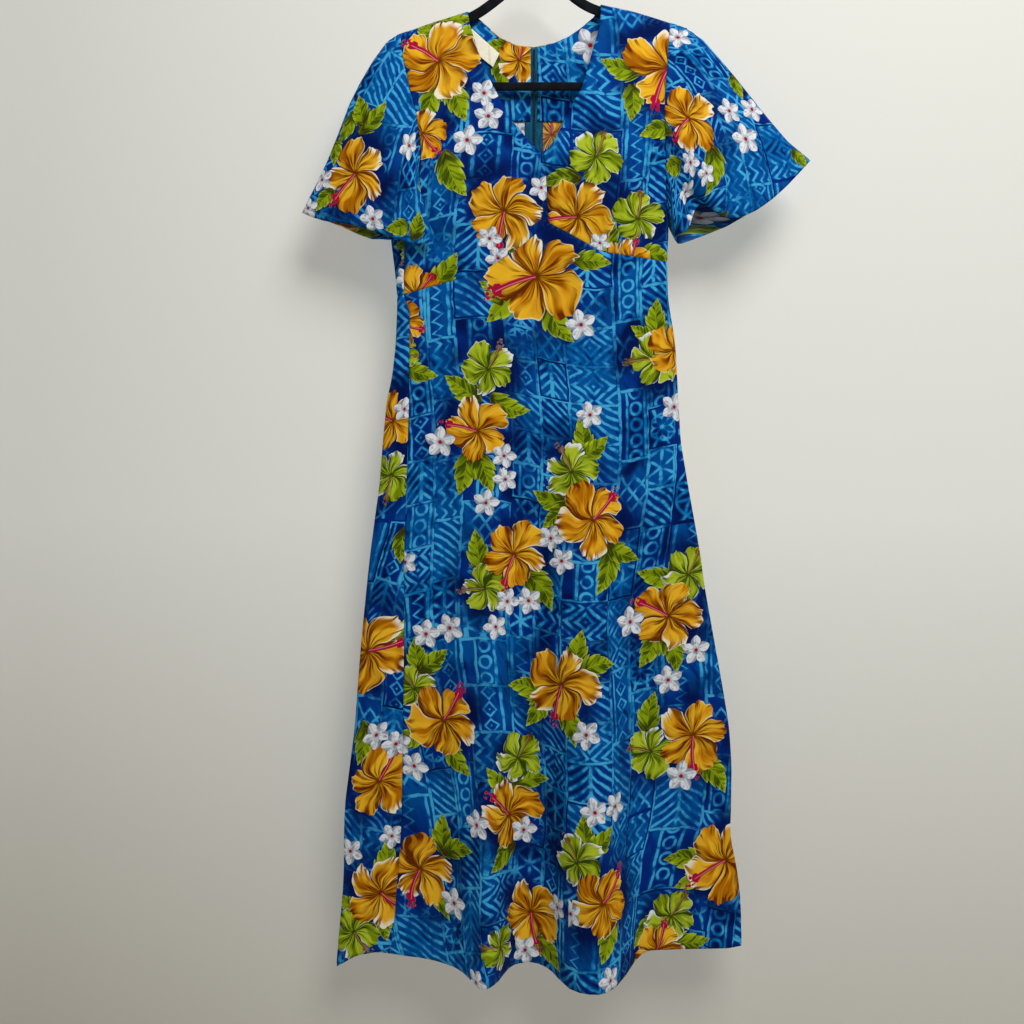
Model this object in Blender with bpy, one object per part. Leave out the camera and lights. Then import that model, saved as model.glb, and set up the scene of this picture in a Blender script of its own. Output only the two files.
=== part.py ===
"""Hawaiian maxi dress hanging on a black velvet hanger.

Every size below is a driving dimension. Places on the cloth are given in photo steps: one step
is STEP metres on the hanger's plane, counted from the picture's top left corner, so each outline
reads straight off the photograph. The frame is metres, Z up, the front faces -Y, and the origin
is where the hanger's hook rests.
"""

import math

import bmesh
import bpy
import numpy as np

# How a photo step becomes a place in space
STEP = 0.00145
HOOK_ACROSS = 537.0
HOOK_DOWN = -72.0
EYE_ACROSS = 512.0
EYE_DOWN = 512.0
EYE_AWAY = 1.6

# Cloth
CLOTH_WALL = 0.0012
FACING_WALL = 0.0010
TAPE_WALL = 0.0010
SEAM_GAP = 0.0003
LAYER_GAP = 0.0003
RING_POWER = 2.4
SHOULDER_ROUND = 0.0072
SHOULDER_EASE = 0.060
SLEEVE_PUFF = 0.006

# How finely the cloth is divided
ROWS_TO_UNDERARM = (
    0, 0.007, 0.028, 0.062, 0.11, 0.18, 0.27, 0.38, 0.50, 0.62, 0.73, 0.82, 0.89, 0.94, 0.97, 1,
)
SLEEVE_AROUND = (
    0, 0.007, 0.028, 0.062, 0.11, 0.18, 0.27, 0.325, 0.38, 0.44, 0.50, 0.56, 0.62, 0.675, 0.73,
    0.775, 0.82, 0.855, 0.89, 0.94, 0.97, 1,
)
BODICE_ROWS_BELOW = (0.08, 0.22, 0.45, 0.72, 1)
FRONT_COLUMNS = 14
BACK_COLUMNS = 12
SKIRT_ROWS = 13
SLEEVE_ROWS = 5

# Hanger
ARM_HEIGHT = 0.0150
ARM_DEPTH = 0.0052
BAR_HEIGHT = 0.0130
BAR_DEPTH = 0.0050
HOOK_WIRE = 0.0040
HOOK_RADIUS = 0.0190
HOOK_BEND = 0.0120

# Zip and label
ZIP_ACROSS = 533.0
ZIP_TAPE = 0.0125
ZIP_LENGTH = 0.500
FACING_DEEP = 122.0
FACING_LAP = 44.0
LABEL_WALL = 0.0010


def table(columns, *rows):
    """A short table as one array for each named column."""
    return {name: np.array([row[i] for row in rows], float) for i, name in enumerate(columns)}


# The ring of cloth round the body: its left and right edge, and how far it stands
# in front of and behind the hanger's plane, in metres
BODY = table(
    ("down", "left", "right", "front", "back"),
    (-10, 376, 706, 0.024, 0.014),
    (60, 378, 698, 0.024, 0.014),
    (120, 382, 688, 0.026, 0.016),
    (180, 387, 675, 0.028, 0.018),
    (215, 390, 670, 0.026, 0.018),
    (240, 391, 668, 0.024, 0.018),
    (270, 395, 667, 0.022, 0.017),
    (300, 397.5, 668, 0.020, 0.016),
    (342, 396, 675, 0.019, 0.016),
    (376, 392.5, 677, 0.019, 0.016),
    (400, 387, 678, 0.019, 0.016),
    (442, 383, 681, 0.019, 0.016),
    (486, 379.5, 688, 0.019, 0.017),
    (522, 374.5, 694.5, 0.019, 0.017),
    (553, 370.5, 700, 0.019, 0.018),
    (584, 367, 704, 0.019, 0.018),
    (640, 361.5, 714, 0.019, 0.019),
    (684, 358, 722, 0.019, 0.019),
    (727, 355, 729, 0.018, 0.020),
    (765, 350, 731.5, 0.018, 0.020),
    (804, 345, 731, 0.018, 0.021),
    (836, 344, 730, 0.018, 0.021),
    (867, 344, 736.5, 0.017, 0.022),
    (890, 343, 739.5, 0.017, 0.022),
    (913, 341, 741, 0.016, 0.022),
    (945, 338, 741.5, 0.016, 0.022),
    (1000, 334, 742, 0.016, 0.022),
)

# The shoulder line that the cloth hangs from
SHOULDER = table(
    ("across", "down"),
    (376, 40), (400, 33), (410, 30), (433, 22), (467, 11.3), (601, 4), (633, 11), (653, 17),
    (670, 22.5), (700, 34),
)

# Neck, from the shoulder to the V and to the centre back
NECK_LEFT = table(
    ("down", "across"),
    (11.3, 467.6), (25.5, 470), (47, 477), (68, 484), (89, 495), (117, 509), (144, 532), (155, 543),
)
NECK_RIGHT = table(
    ("down", "across"),
    (4, 601), (25, 600), (45, 594), (66, 588), (87, 582), (108, 570), (139, 555), (155, 543),
)
BACK_NECK_LEFT = table(
    ("across", "down"),
    (467.6, 11.3), (480, 20), (490, 29), (501, 38), (515, 45), (534, 47.5),
)
BACK_NECK_RIGHT = table(
    ("across", "down"),
    (601, 4), (594, 17), (580, 29), (568, 37), (555, 43), (534, 47.5),
)
CENTRE_FRONT = table(("down", "across"), (155, 543), (175, 546), (222.5, 548.5))

# Armholes, from the shoulder to the underarm. side is 1 in front, -1 behind and 0 at the edge
FRONT_ARMHOLE_LEFT = table(
    ("down", "across", "side"),
    (33, 400.5, 1), (53, 402, 1), (89, 410, 1), (112, 416, 1), (132, 419, 1), (153, 421, 1),
    (185, 418, 1), (206, 406, 1), (222, 390, 0),
)
BACK_ARMHOLE_LEFT = table(
    ("down", "across", "side"),
    (33, 400.5, -1), (60, 404, -1), (100, 409, -1), (150, 411, -1), (185, 407, -1),
    (208, 398, -1), (222, 390, 0),
)
FRONT_ARMHOLE_RIGHT = table(
    ("down", "across", "side"),
    (22.5, 670, 1), (50, 668, 1), (93, 665, 1), (116, 664.5, 1), (149, 665.5, 1), (182, 666, 1),
    (210, 666.5, 1), (231, 670, 0),
)
BACK_ARMHOLE_RIGHT = table(
    ("down", "across", "side"),
    (22.5, 670, -1), (60, 667, -1), (100, 661, -1), (150, 656, -1), (195, 657, -1),
    (217, 663, -1), (231, 670, 0),
)

# Side seams below the underarm. The left one shows on the front, the right one is behind
SIDE_LEFT = table(
    ("down", "across"),
    (222, 390), (230, 396), (241, 404), (295, 403.5), (312, 409.5), (400, 409), (476, 406.5),
    (553, 404), (640, 404), (819, 401.5), (852, 399.5), (882, 397), (913, 395), (951, 390.5),
    (1000, 387),
)
SIDE_RIGHT = table(("down", "across"), (231, 670), (247, 664), (300, 664), (600, 700), (1000, 734))

# Empire seam in front, peaked under the V, and the waist seam behind
EMPIRE = table(
    ("across", "down"),
    (380, 301), (403, 294.7), (430, 287), (455, 280), (484, 270), (497, 262.5), (523, 245),
    (548.5, 222.5), (575, 236.5), (601, 251.5), (635, 256.5), (667, 262), (690, 266),
)
WAIST = table(
    ("across", "down"),
    (380, 301), (397.5, 296.2), (470, 293), (534, 288), (610, 276), (667.5, 262), (690, 264),
)

# Hem as the camera sees it, in front and behind
HEM = table(
    ("across", "down"),
    (330, 969), (336, 967), (346, 962), (355, 956), (378, 952), (400, 955.5), (421, 958),
    (436, 961), (453, 966.5), (463, 972), (471, 980), (482, 991), (491, 989), (501, 981),
    (508, 969), (516, 964), (531, 962), (543, 965), (553, 972), (562, 983), (574, 992),
    (590, 995), (604, 995), (613, 991), (624, 980), (632, 966), (640, 955), (650, 950.5),
    (680, 949.5), (729, 948.5), (741, 946), (750, 945),
)
HEM_BEHIND = table(
    ("across", "down"),
    (330, 969), (336, 967), (350, 957), (390, 947), (534, 944), (690, 942), (735, 945), (750, 945),
)

# Folds at the hem: how far the front stands forward of the plain ring, in metres
HEM_FOLDS = table(
    ("across", "stand"),
    (336, 0.000), (365, 0.002), (400, -0.004), (420, 0.000), (436, 0.008), (453, 0.022),
    (466, 0.044), (478, 0.066), (487, 0.072), (497, 0.056), (506, 0.026), (516, 0.006),
    (531, 0.000), (543, 0.006), (553, 0.022), (563, 0.048), (575, 0.070), (590, 0.078),
    (604, 0.078), (614, 0.066), (624, 0.040), (634, 0.014), (645, 0.000), (662, -0.006),
    (690, -0.002), (720, 0.000), (741, 0.000),
)
HEM_FOLDS_BEHIND = table(
    ("across", "stand"),
    (336, 0.000), (380, 0.004), (420, -0.005), (462, 0.006), (505, -0.006), (548, 0.005),
    (600, -0.006), (645, 0.005), (690, -0.004), (741, 0.000),
)
FOLDS_START = 290.0
FOLDS_END = 960.0
FOLDS_GROWTH = 1.5

# Cuffs as rings. at runs 0 to 1 down the front, from the top fold to the underarm, and 1 to 2
# up the back
CUFF_LEFT = table(
    ("at", "across", "down", "stand"),
    (0.00, 301.5, 212.5, 0.003), (0.08, 311, 216.5, 0.009), (0.16, 323, 220.5, 0.013),
    (0.25, 338, 222.5, 0.018), (0.34, 354, 225, 0.022), (0.43, 370, 229.5, 0.025),
    (0.51, 384, 234, 0.028), (0.58, 400, 240, 0.031), (0.64, 415, 243.5, 0.034),
    (0.69, 428, 243, 0.036), (0.73, 434, 238.5, 0.034), (0.77, 432.5, 236, 0.029),
    (0.83, 422, 237.5, 0.0245), (0.90, 409, 238.5, 0.0215), (0.96, 398, 239.5, 0.016),
    (1.00, 389, 240, 0.009), (1.06, 385, 240, 0.001), (1.14, 382, 239.5, -0.005),
    (1.24, 379, 239.5, -0.008),
    (1.34, 372, 239.5, -0.009), (1.46, 358, 234.5, -0.010), (1.60, 342, 227, -0.010),
    (1.76, 325, 220.5, -0.008), (1.90, 309, 215.5, -0.006), (1.95, 302.5, 213, -0.004),
    (2.00, 301.5, 212.5, 0.003),
)
CUFF_RIGHT = table(
    ("at", "across", "down", "stand"),
    (0.00, 811, 160, 0.003), (0.10, 802, 170, 0.009), (0.22, 787, 186, 0.014),
    (0.34, 772, 199.5, 0.020), (0.46, 757, 210, 0.025), (0.56, 743, 216.5, 0.028),
    (0.63, 729, 218.5, 0.027), (0.69, 718, 215.5, 0.021), (0.74, 709, 206, 0.0145),
    (0.78, 701, 203, 0.0125), (0.82, 695, 209, 0.0155), (0.86, 692, 219, 0.022),
    (0.90, 688, 230, 0.026), (0.935, 681, 233, 0.022), (0.965, 676, 235, 0.012),
    (1.00, 675, 241, 0.003), (1.08, 677, 244, -0.004), (1.16, 681, 244, -0.007),
    (1.30, 690, 241, -0.009), (1.42, 706, 235, -0.011), (1.56, 727, 226.5, -0.012),
    (1.70, 752, 212, -0.011), (1.84, 781, 190, -0.008), (1.92, 800, 172, -0.006),
    (1.955, 810, 161, -0.004), (2.00, 811, 160, 0.003),
)

# The top fold of each sleeve, from the shoulder to the cuff's tip
TOP_LEFT = table(
    ("at", "across", "down"),
    (0.00, 400.5, 33), (0.07, 387, 42), (0.17, 373, 61), (0.28, 360, 83), (0.39, 349, 105),
    (0.54, 338, 134), (0.69, 327, 161), (0.86, 313, 190), (1.00, 301.5, 212.5),
)
TOP_RIGHT = table(
    ("at", "across", "down"),
    (0.00, 670, 22.5), (0.08, 687, 28.5), (0.17, 703, 40), (0.27, 719, 58), (0.39, 736, 78),
    (0.52, 752, 98), (0.66, 769, 119), (0.82, 788, 141), (1.00, 811, 160),
)

# Hanger centre lines
ARM_LEFT = table(
    ("across", "down"),
    (537, -31), (525, -24), (511, -12), (497, 0), (485, 9), (473.5, 17), (455, 23.5),
    (433, 30.5), (415, 36.5), (405, 40.5), (401, 43),
)
ARM_RIGHT = table(
    ("across", "down"),
    (537, -31), (549, -24), (562, -12.5), (576, 0), (588, 7.5), (600, 12), (616, 15.5),
    (633, 19), (653, 25), (669, 30.5), (682, 36), (688, 40),
)
BAR = table(
    ("across", "down"),
    (404, 47.7), (406, 62), (412, 75.5), (424, 83.5), (442, 86.5), (490, 86.5), (537, 86.5),
    (584, 86.5), (638, 86.5), (656, 83.5), (669, 75.5), (677, 62), (680, 44.4),
)

# The zip slider from its top to the end of its pull: half its width and its thickness, in metres
SLIDER = table(
    ("down", "half", "thick"),
    (50.0, 0.0018, 0.0024), (51.0, 0.0028, 0.0030), (56.0, 0.0028, 0.0030), (57.0, 0.0018, 0.0024),
    (57.6, 0.0014, 0.0012), (66.0, 0.0020, 0.0011), (68.0, 0.0017, 0.0011),
)

# The corners of the blank label inside the back neck
LABEL = table(("across", "down"), (472, 29.5), (499.5, 55), (493, 68.5), (460, 42))

MATERIALS = {
    "printed_cloth": (0.02, 0.20, 0.48, 0.0, 0.75),
    "zip_tape_teal": (0.0, 0.10, 0.16, 0.0, 0.8),
    "zip_metal": (0.55, 0.55, 0.56, 1.0, 0.35),
    "label_cream": (0.86, 0.80, 0.64, 0.0, 0.6),
    "velvet_black": (0.012, 0.014, 0.018, 0.0, 0.95),
    "hook_steel": (0.62, 0.62, 0.63, 1.0, 0.25),
}


def clear_scene():
    for thing in list(bpy.data.objects):
        bpy.data.objects.remove(thing, do_unlink=True)


def material(name):
    made = bpy.data.materials.get(name)
    if made:
        return made
    red, green, blue, metallic, roughness = MATERIALS[name]
    made = bpy.data.materials.new(name)
    made.use_nodes = True
    shader = made.node_tree.nodes["Principled BSDF"]
    shader.inputs["Base Color"].default_value = (red, green, blue, 1.0)
    shader.inputs["Metallic"].default_value = metallic
    shader.inputs["Roughness"].default_value = roughness
    made.diffuse_color = (red, green, blue, 1.0)
    return made


def place(across, down, stand):
    """The point that the camera sees at (across, down) when it stands that far forward."""
    shrink = (EYE_AWAY - stand) / EYE_AWAY
    x = (EYE_ACROSS - HOOK_ACROSS + (across - EYE_ACROSS) * shrink) * STEP
    z = (HOOK_DOWN - EYE_DOWN - (down - EYE_DOWN) * shrink) * STEP
    return np.stack([x, -stand, z], -1)


def look_up(rows, key, value, at):
    return np.interp(at, rows[key], rows[value])


def shoulder_down(across):
    return look_up(SHOULDER, "across", "down", across)


def smoothed(rows, value, down):
    """A column of the body table, eased over a few steps so that no row shows as a corner."""
    total = 0.0
    for shift in (-9, -4.5, 0, 4.5, 9):
        total = total + look_up(rows, "down", value, down + shift)
    return total / 5


def body_span(down):
    left = smoothed(BODY, "left", down)
    right = smoothed(BODY, "right", down)
    return (left + right) / 2, (right - left) / 2


def ring_angle(across, down, side):
    """The angle round the ring, 0 at the left edge, pi at the right edge, on past pi behind."""
    centre, half = body_span(down)
    reach = np.clip((across - centre) / half, -1, 1)
    front = np.arccos(-np.sign(reach) * np.abs(reach) ** (RING_POWER / 2))
    return np.where(side > 0, front, 2 * math.pi - front)


def fold_stand(across, down, behind):
    """How far the folds push the skirt forward, growing from nothing down to the hem."""
    grow = np.clip((down - FOLDS_START) / (FOLDS_END - FOLDS_START), 0, 1.1) ** FOLDS_GROWTH
    centre, half = body_span(down)
    spread = 538.5 + (across - centre) / half * 202.5
    front = look_up(HEM_FOLDS, "across", "stand", spread)
    back = look_up(HEM_FOLDS_BEHIND, "across", "stand", spread)
    return np.where(behind, back, front) * grow


def ring_across(angle, down):
    """How far across the picture the ring is at an angle."""
    turn = np.cos(angle)
    centre, half = body_span(down)
    return centre - half * np.sign(turn) * np.abs(turn) ** (2 / RING_POWER)


def body(angle, down):
    """A point of the cloth round the body, at an angle round the ring and a height."""
    lift = np.sin(angle)
    across = ring_across(angle, down)
    round_off = np.abs(lift) ** (2 / RING_POWER)
    behind = lift < 0
    deep = np.where(behind, smoothed(BODY, "back", down), smoothed(BODY, "front", down))
    drop = np.maximum(down - shoulder_down(across), 0.0) * STEP
    near = np.clip(drop / SHOULDER_ROUND, 0, 1)
    over_arm = SHOULDER_ROUND * np.sqrt(1 - (1 - near) ** 2)
    open_up = (deep - SHOULDER_ROUND) * (1 - np.exp(-drop / SHOULDER_EASE))
    low = np.clip((down - 60) / 170, 0, 1)
    low = low * low * (3 - 2 * low)
    stand = (over_arm + open_up) * (1 + (round_off - 1) * low)
    stand = np.where(behind, -stand, stand) + fold_stand(across, down, behind)
    return place(across, down, stand)


def body_normal(angle, down):
    """Straight out of the cloth."""
    here = body(angle, down)
    round_way = body(angle + 1e-4, down) - body(angle - 1e-4, down)
    down_way = body(angle, down + 0.02) - here
    normal = np.cross(down_way, round_way)
    across = ring_across(angle, down)
    slope = shoulder_down(across + 1) - shoulder_down(across - 1)
    drop = down - shoulder_down(across)
    upright = np.stack([slope / 2, 0 * slope, 1 + 0 * slope], -1)
    normal = np.where((drop < 0.1)[..., None], upright, normal)
    return normal / np.linalg.norm(normal, axis=-1, keepdims=True)


def grid_normal(points, closed):
    """Normals of a grid of points, out of the side that faces the viewer in front."""
    if closed:
        along = np.roll(points, -1, 1) - np.roll(points, 1, 1)
    else:
        along = np.gradient(points, axis=1)
    down_way = np.gradient(points, axis=0)
    normal = np.cross(down_way, along)
    return normal / np.linalg.norm(normal, axis=-1, keepdims=True)


def cloth(name, points, normals, wall, material_name, offset=0.0, closed=False):
    """A closed wall of cloth on a grid of points: an outer skin, an inner skin and the edges."""
    rows, columns = points.shape[:2]
    outer = (points + normals * (offset + wall / 2)).reshape(-1, 3)
    inner = (points + normals * (offset - wall / 2)).reshape(-1, 3)
    flat = points.reshape(-1, 3)
    shift = rows * columns
    faces = []
    last = columns if closed else columns - 1
    for r in range(rows - 1):
        for c in range(last):
            n = (c + 1) % columns
            a, b = r * columns + c, r * columns + n
            d, e = (r + 1) * columns + n, (r + 1) * columns + c
            if np.linalg.norm(flat[a] - flat[d]) < np.linalg.norm(flat[b] - flat[e]):
                halves = ((a, e, d), (a, d, b))
            else:
                halves = ((a, e, b), (e, d, b))
            for half in halves:
                faces.append(half)
                faces.append(tuple(i + shift for i in reversed(half)))
    for c in range(last):
        n = (c + 1) % columns
        low_a, low_b = (rows - 1) * columns + c, (rows - 1) * columns + n
        faces.append((c, n, n + shift, c + shift))
        faces.append((low_b, low_a, low_a + shift, low_b + shift))
    if not closed:
        for r in range(rows - 1):
            a, b = r * columns, (r + 1) * columns
            faces.append((b, a, a + shift, b + shift))
            a, b = a + columns - 1, b + columns - 1
            faces.append((a, b, b + shift, a + shift))
    return mesh_object(name, np.concatenate([outer, inner]), faces, material_name)


def mesh_object(name, points, faces, material_name):
    mesh = bpy.data.meshes.new(name)
    mesh.from_pydata([tuple(float(v) for v in p) for p in points], [], faces)
    shape = bmesh.new()
    shape.from_mesh(mesh)
    bmesh.ops.triangulate(shape, faces=shape.faces[:])
    bmesh.ops.recalc_face_normals(shape, faces=shape.faces[:])
    if shape.calc_volume(signed=True) < 0:
        bmesh.ops.reverse_faces(shape, faces=shape.faces[:])
    shape.to_mesh(mesh)
    shape.free()
    thing = bpy.data.objects.new(name, mesh)
    thing.data.materials.append(material(material_name))
    bpy.data.collections["hawaiian_maxi_dress"].objects.link(thing)
    return thing


def rod(name, path, height, depth, material_name, sides=10):
    """A bar with a rounded section, swept along a path in the hanger's plane."""
    run = np.gradient(path, axis=0)
    run = run / np.linalg.norm(run, axis=1, keepdims=True)
    across = np.stack([-run[:, 2], np.zeros(len(run)), run[:, 0]], -1)
    points, faces = [], []
    for centre, way in zip(path, across):
        for k in range(sides):
            a = 2 * math.pi * (k + 0.5) / sides
            high = math.copysign(abs(math.cos(a)) ** 0.7, math.cos(a)) * height / 2
            deep = math.copysign(abs(math.sin(a)) ** 0.7, math.sin(a)) * depth / 2
            points.append(centre + way * high + np.array([0, deep, 0]))
    for i in range(len(path) - 1):
        for k in range(sides):
            n = (k + 1) % sides
            faces.append((i * sides + k, i * sides + n, (i + 1) * sides + n, (i + 1) * sides + k))
    faces.append(tuple(range(sides)))
    faces.append(tuple((len(path) - 1) * sides + k for k in range(sides)))
    return mesh_object(name, points, faces, material_name)


def patch(inner, outer, top, bottom, rows, columns):
    """A four-sided grid of (angle, down) pairs that fills its four edges."""
    v = rows[:, None, None]
    s = columns[None, :, None]
    across_way = (1 - s) * inner[:, None, :] + s * outer[:, None, :]
    down_way = (1 - v) * top[None, :, :] + v * bottom[None, :, :]
    corners = (1 - v) * ((1 - s) * top[0] + s * top[-1]) + v * ((1 - s) * bottom[0] + s * bottom[-1])
    return across_way + down_way - corners


def armhole_points(rows, fraction):
    """(angle, down) pairs along an armhole, at fractions of its drop."""
    spot = np.arange(len(rows["down"]))
    angles = ring_angle(rows["across"], rows["down"], rows["side"])
    centre_edge = np.array([0.0 if a < 540 else math.pi for a in rows["across"]])
    angles = np.where(rows["side"] == 0, centre_edge, angles)
    if rows["across"][0] < 540 and rows["side"][0] < 0:
        angles = np.where(rows["side"] >= 0, angles + 2 * math.pi, angles)
    lengths = np.abs(np.diff(rows["down"])) + 0.7 * np.abs(np.diff(rows["across"]))
    along = np.concatenate([[0], np.cumsum(lengths)])
    along = along / along[-1]
    index = np.interp(fraction, along, spot)
    return np.stack([np.interp(index, spot, angles), np.interp(index, spot, rows["down"])], -1)


def bodice_rows():
    """Row fractions above the underarm, close together over the shoulder, then below it."""
    upper = np.array(ROWS_TO_UNDERARM, float)
    lower = np.array(BODICE_ROWS_BELOW, float)
    return upper, lower


def seam_pairs(across, down, side, shift):
    """(angle, down) pairs along a seam, moved a little sideways to leave the seam gap."""
    return np.stack([ring_angle(across + shift, down, side), down], -1)


HALF_GAP = SEAM_GAP / STEP / 2 * 1.15
SHOULDER_START = 0.0035
POINT_ROW = 0.73
CENTRE_ROW = 0.38


def bodice_front(name, neck, armhole, side_seam, left):
    upper, lower = bodice_rows()
    sign = -1 if left else 1
    side = 1 if left else -1
    to_point = np.minimum(upper / POINT_ROW, 1)
    past_point = np.clip((upper - POINT_ROW) / (1 - POINT_ROW), 0, 1)
    inner_down = neck["down"][0] + to_point * (155 - neck["down"][0]) + past_point * 35
    inner_down = np.concatenate([inner_down, 190 + lower * 32.5])
    inner_across = np.where(
        inner_down < 155,
        look_up(neck, "down", "across", inner_down),
        look_up(CENTRE_FRONT, "down", "across", inner_down) + sign * HALF_GAP,
    )
    inner = seam_pairs(inner_across, inner_down, 1, 0)
    outer = outer_edge(armhole, side_seam, upper, lower, left, side, HALF_GAP)
    columns = np.linspace(0, 1, FRONT_COLUMNS + 1)
    rows = np.concatenate([upper * 0.72, 0.72 + lower * 0.28])
    build_on_body(name, patch_between(inner, outer, columns, rows), CLOTH_WALL)


def outer_edge(armhole, side_seam, upper, lower, left, side, shift):
    """Down the armhole, then down the side seam, moved off it by the seam gap."""
    above = armhole_points(armhole, upper)
    down = side_seam["down"][0] + lower * (empire_end(left) - side_seam["down"][0])
    across = look_up(side_seam, "down", "across", down)
    below = seam_pairs(across, down, side, shift)
    if above[0, 0] > math.pi and side > 0:
        below[:, 0] += 2 * math.pi
    above[-1, 0] += (1 if left else -1) * shift * 0.025
    return np.concatenate([above, below])


def empire_end(left):
    return 294.7 if left else 262.7


def seam_down(angle):
    """How far down the empire seam in front, and the waist seam behind, is at each angle."""
    down = np.full_like(angle, 270.0)
    for _ in range(6):
        across = ring_across(angle, down)
        ahead = look_up(EMPIRE, "across", "down", across)
        behind = look_up(WAIST, "across", "down", across)
        down = np.where(np.sin(angle) >= 0, ahead, behind)
    return down


def waist_line():
    """The seam between bodice and skirt, as the corners that both of them share."""
    left = float(ring_angle(look_up(SIDE_LEFT, "down", "across", 294.7), 294.7, 1))
    front = float(ring_angle(548.5, 222.5, 1))
    right = float(ring_angle(664.0, 262.7, -1))
    back = float(ring_angle(534.0, 288.0, -1))
    stops = (left, front, right, back, left + 2 * math.pi)
    counts = (FRONT_COLUMNS, FRONT_COLUMNS, BACK_COLUMNS, BACK_COLUMNS)
    parts = [np.linspace(a, b, n + 1)[:-1] for a, b, n in zip(stops[:-1], stops[1:], counts)]
    angles = np.concatenate(parts + [[stops[-1]]])
    return angles, seam_down(angles), stops


def on_waist_line(angle, shift):
    angles, downs, _ = waist_line()
    return np.interp(angle, angles, downs) + shift


def patch_between(inner, outer, columns, rows):
    """Fill between two edges, with the shoulder straight and the bottom on the waist line."""
    top = inner[0] + columns[:, None] * (outer[0] - inner[0])
    for _ in range(6):
        across = ring_across(top[:, 0], top[:, 1])
        top[:, 1] = shoulder_down(across) + SHOULDER_START
    bottom = inner[-1] + columns[:, None] * (outer[-1] - inner[-1])
    bottom[:, 1] = on_waist_line(bottom[:, 0], -HALF_GAP)
    inner[-1, 1], outer[-1, 1] = bottom[0, 1], bottom[-1, 1]
    inner[0], outer[0] = top[0], top[-1]
    return patch(inner, outer, top, bottom, rows, columns)


def build_on_body(name, grid, wall, offset=0.0, material_name="printed_cloth"):
    angle, down = grid[..., 0], grid[..., 1]
    return cloth(name, body(angle, down), body_normal(angle, down), wall, material_name, offset)


def bodice_back(name, neck, armhole, side_seam, left):
    upper, lower = bodice_rows()
    sign = -1 if left else 1
    side = 1 if left else -1
    to_centre = np.minimum(upper / CENTRE_ROW, 1)
    neck_across = neck["across"][0] + to_centre * (534.0 - neck["across"][0])
    order = np.argsort(neck["across"])
    neck_down = np.interp(neck_across, neck["across"][order], neck["down"][order])
    past = np.clip((upper - CENTRE_ROW) / (1 - CENTRE_ROW), 0, 1)
    inner_down = np.concatenate([neck_down + past * 150, 197.5 + lower * 90.5])
    gap = np.where(upper >= CENTRE_ROW, sign * HALF_GAP, 0.0)
    inner_across = np.concatenate([neck_across + gap, np.full(len(lower), 534.0 + sign * HALF_GAP)])
    inner = seam_pairs(inner_across, inner_down, -1, 0)
    outer = outer_edge(armhole, side_seam, upper, lower, left, side, -HALF_GAP)
    columns = np.linspace(0, 1, BACK_COLUMNS + 1)
    rows = np.concatenate([upper * 0.72, 0.72 + lower * 0.28])
    build_on_body(name, patch_between(inner, outer, columns, rows), CLOTH_WALL)


def skirt(name, edges, columns):
    """A skirt panel that passes through its edges, each an angle as a function of height."""
    v = np.linspace(0, 1, SKIRT_ROWS + 1)
    edge_angles = [skirt_edge(edge, v) for edge in edges]
    parts = []
    for start, end, count in zip(edge_angles[:-1], edge_angles[1:], columns):
        spots = np.linspace(0, 1, count + 1)[None, (1 if parts else 0):]
        parts.append(start[:, None] + spots * (end - start)[:, None])
    angle = np.concatenate(parts, axis=1)
    down = skirt_down(angle, v[:, None])
    build_on_body(name, np.stack([angle, down], -1), CLOTH_WALL)


def skirt_down(angle, v):
    top = on_waist_line(angle, HALF_GAP)
    return top + v * (hem_down(angle) - top)


def skirt_edge(edge, v):
    """The angle down one edge of a skirt panel."""
    down = 280 + v * 670
    for _ in range(6):
        down = skirt_down(edge(down), v)
    return edge(down)


def hem_down(angle):
    across = ring_across(angle, 955.0)
    front = look_up(HEM, "across", "down", across)
    behind = look_up(HEM_BEHIND, "across", "down", across)
    return np.where(np.sin(angle) >= 0, front, behind)


def front_line(down, shift):
    """Down the middle of the skirt front, below the peak of the empire seam."""
    return ring_angle(548.5 + (down - 222.5) * 0.012 + shift, down, 1)


def left_seam(down, shift):
    return ring_angle(look_up(SIDE_LEFT, "down", "across", down) + shift, down, 1)


def right_seam(down, shift):
    return ring_angle(look_up(SIDE_RIGHT, "down", "across", down) - shift, down, -1)


def back_seam(down, shift):
    return ring_angle(534.0 + shift, down, -1)


def sleeve(name, front_arm, back_arm, cuff, top, left):
    """A flared tube from the armhole to the cuff, open at both ends."""
    count = len(SLEEVE_AROUND) - 1
    at = np.arange(2 * count) / count
    front = armhole_edge(front_arm)
    back = armhole_edge(back_arm)
    start, out = np.split(np.concatenate([front, back[-2:0:-1]]), 2, axis=1)
    start = start + clear_of_bodice(at, out, -1 if left else 1, 0.45 if left else 0.82)
    end = place(
        np.interp(at, cuff["at"], cuff["across"]),
        np.interp(at, cuff["at"], cuff["down"]),
        np.interp(at, cuff["at"], cuff["stand"]),
    )
    v = np.linspace(0, 1, SLEEVE_ROWS + 1) ** 1.2
    crown = place(np.interp(v, top["at"], top["across"]), np.interp(v, top["at"], top["down"]), 0 * v)
    line = crown[0] + v[:, None] * (crown[-1] - crown[0])
    near_top = np.exp(-(np.minimum(at, 2 - at) / 0.42) ** 2)
    points = start[None] * (1 - v[:, None, None]) + end[None] * v[:, None, None]
    points = points + (crown - line)[:, None, :] * near_top[None, :, None]
    points[..., 1] -= np.sin(math.pi * v)[:, None] * np.sin(math.pi * at)[None, :] * SLEEVE_PUFF
    normals = grid_normal(points, closed=True)
    if not left:
        normals = -normals
    cloth(name, points, normals, CLOTH_WALL, "printed_cloth", closed=True)


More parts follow.
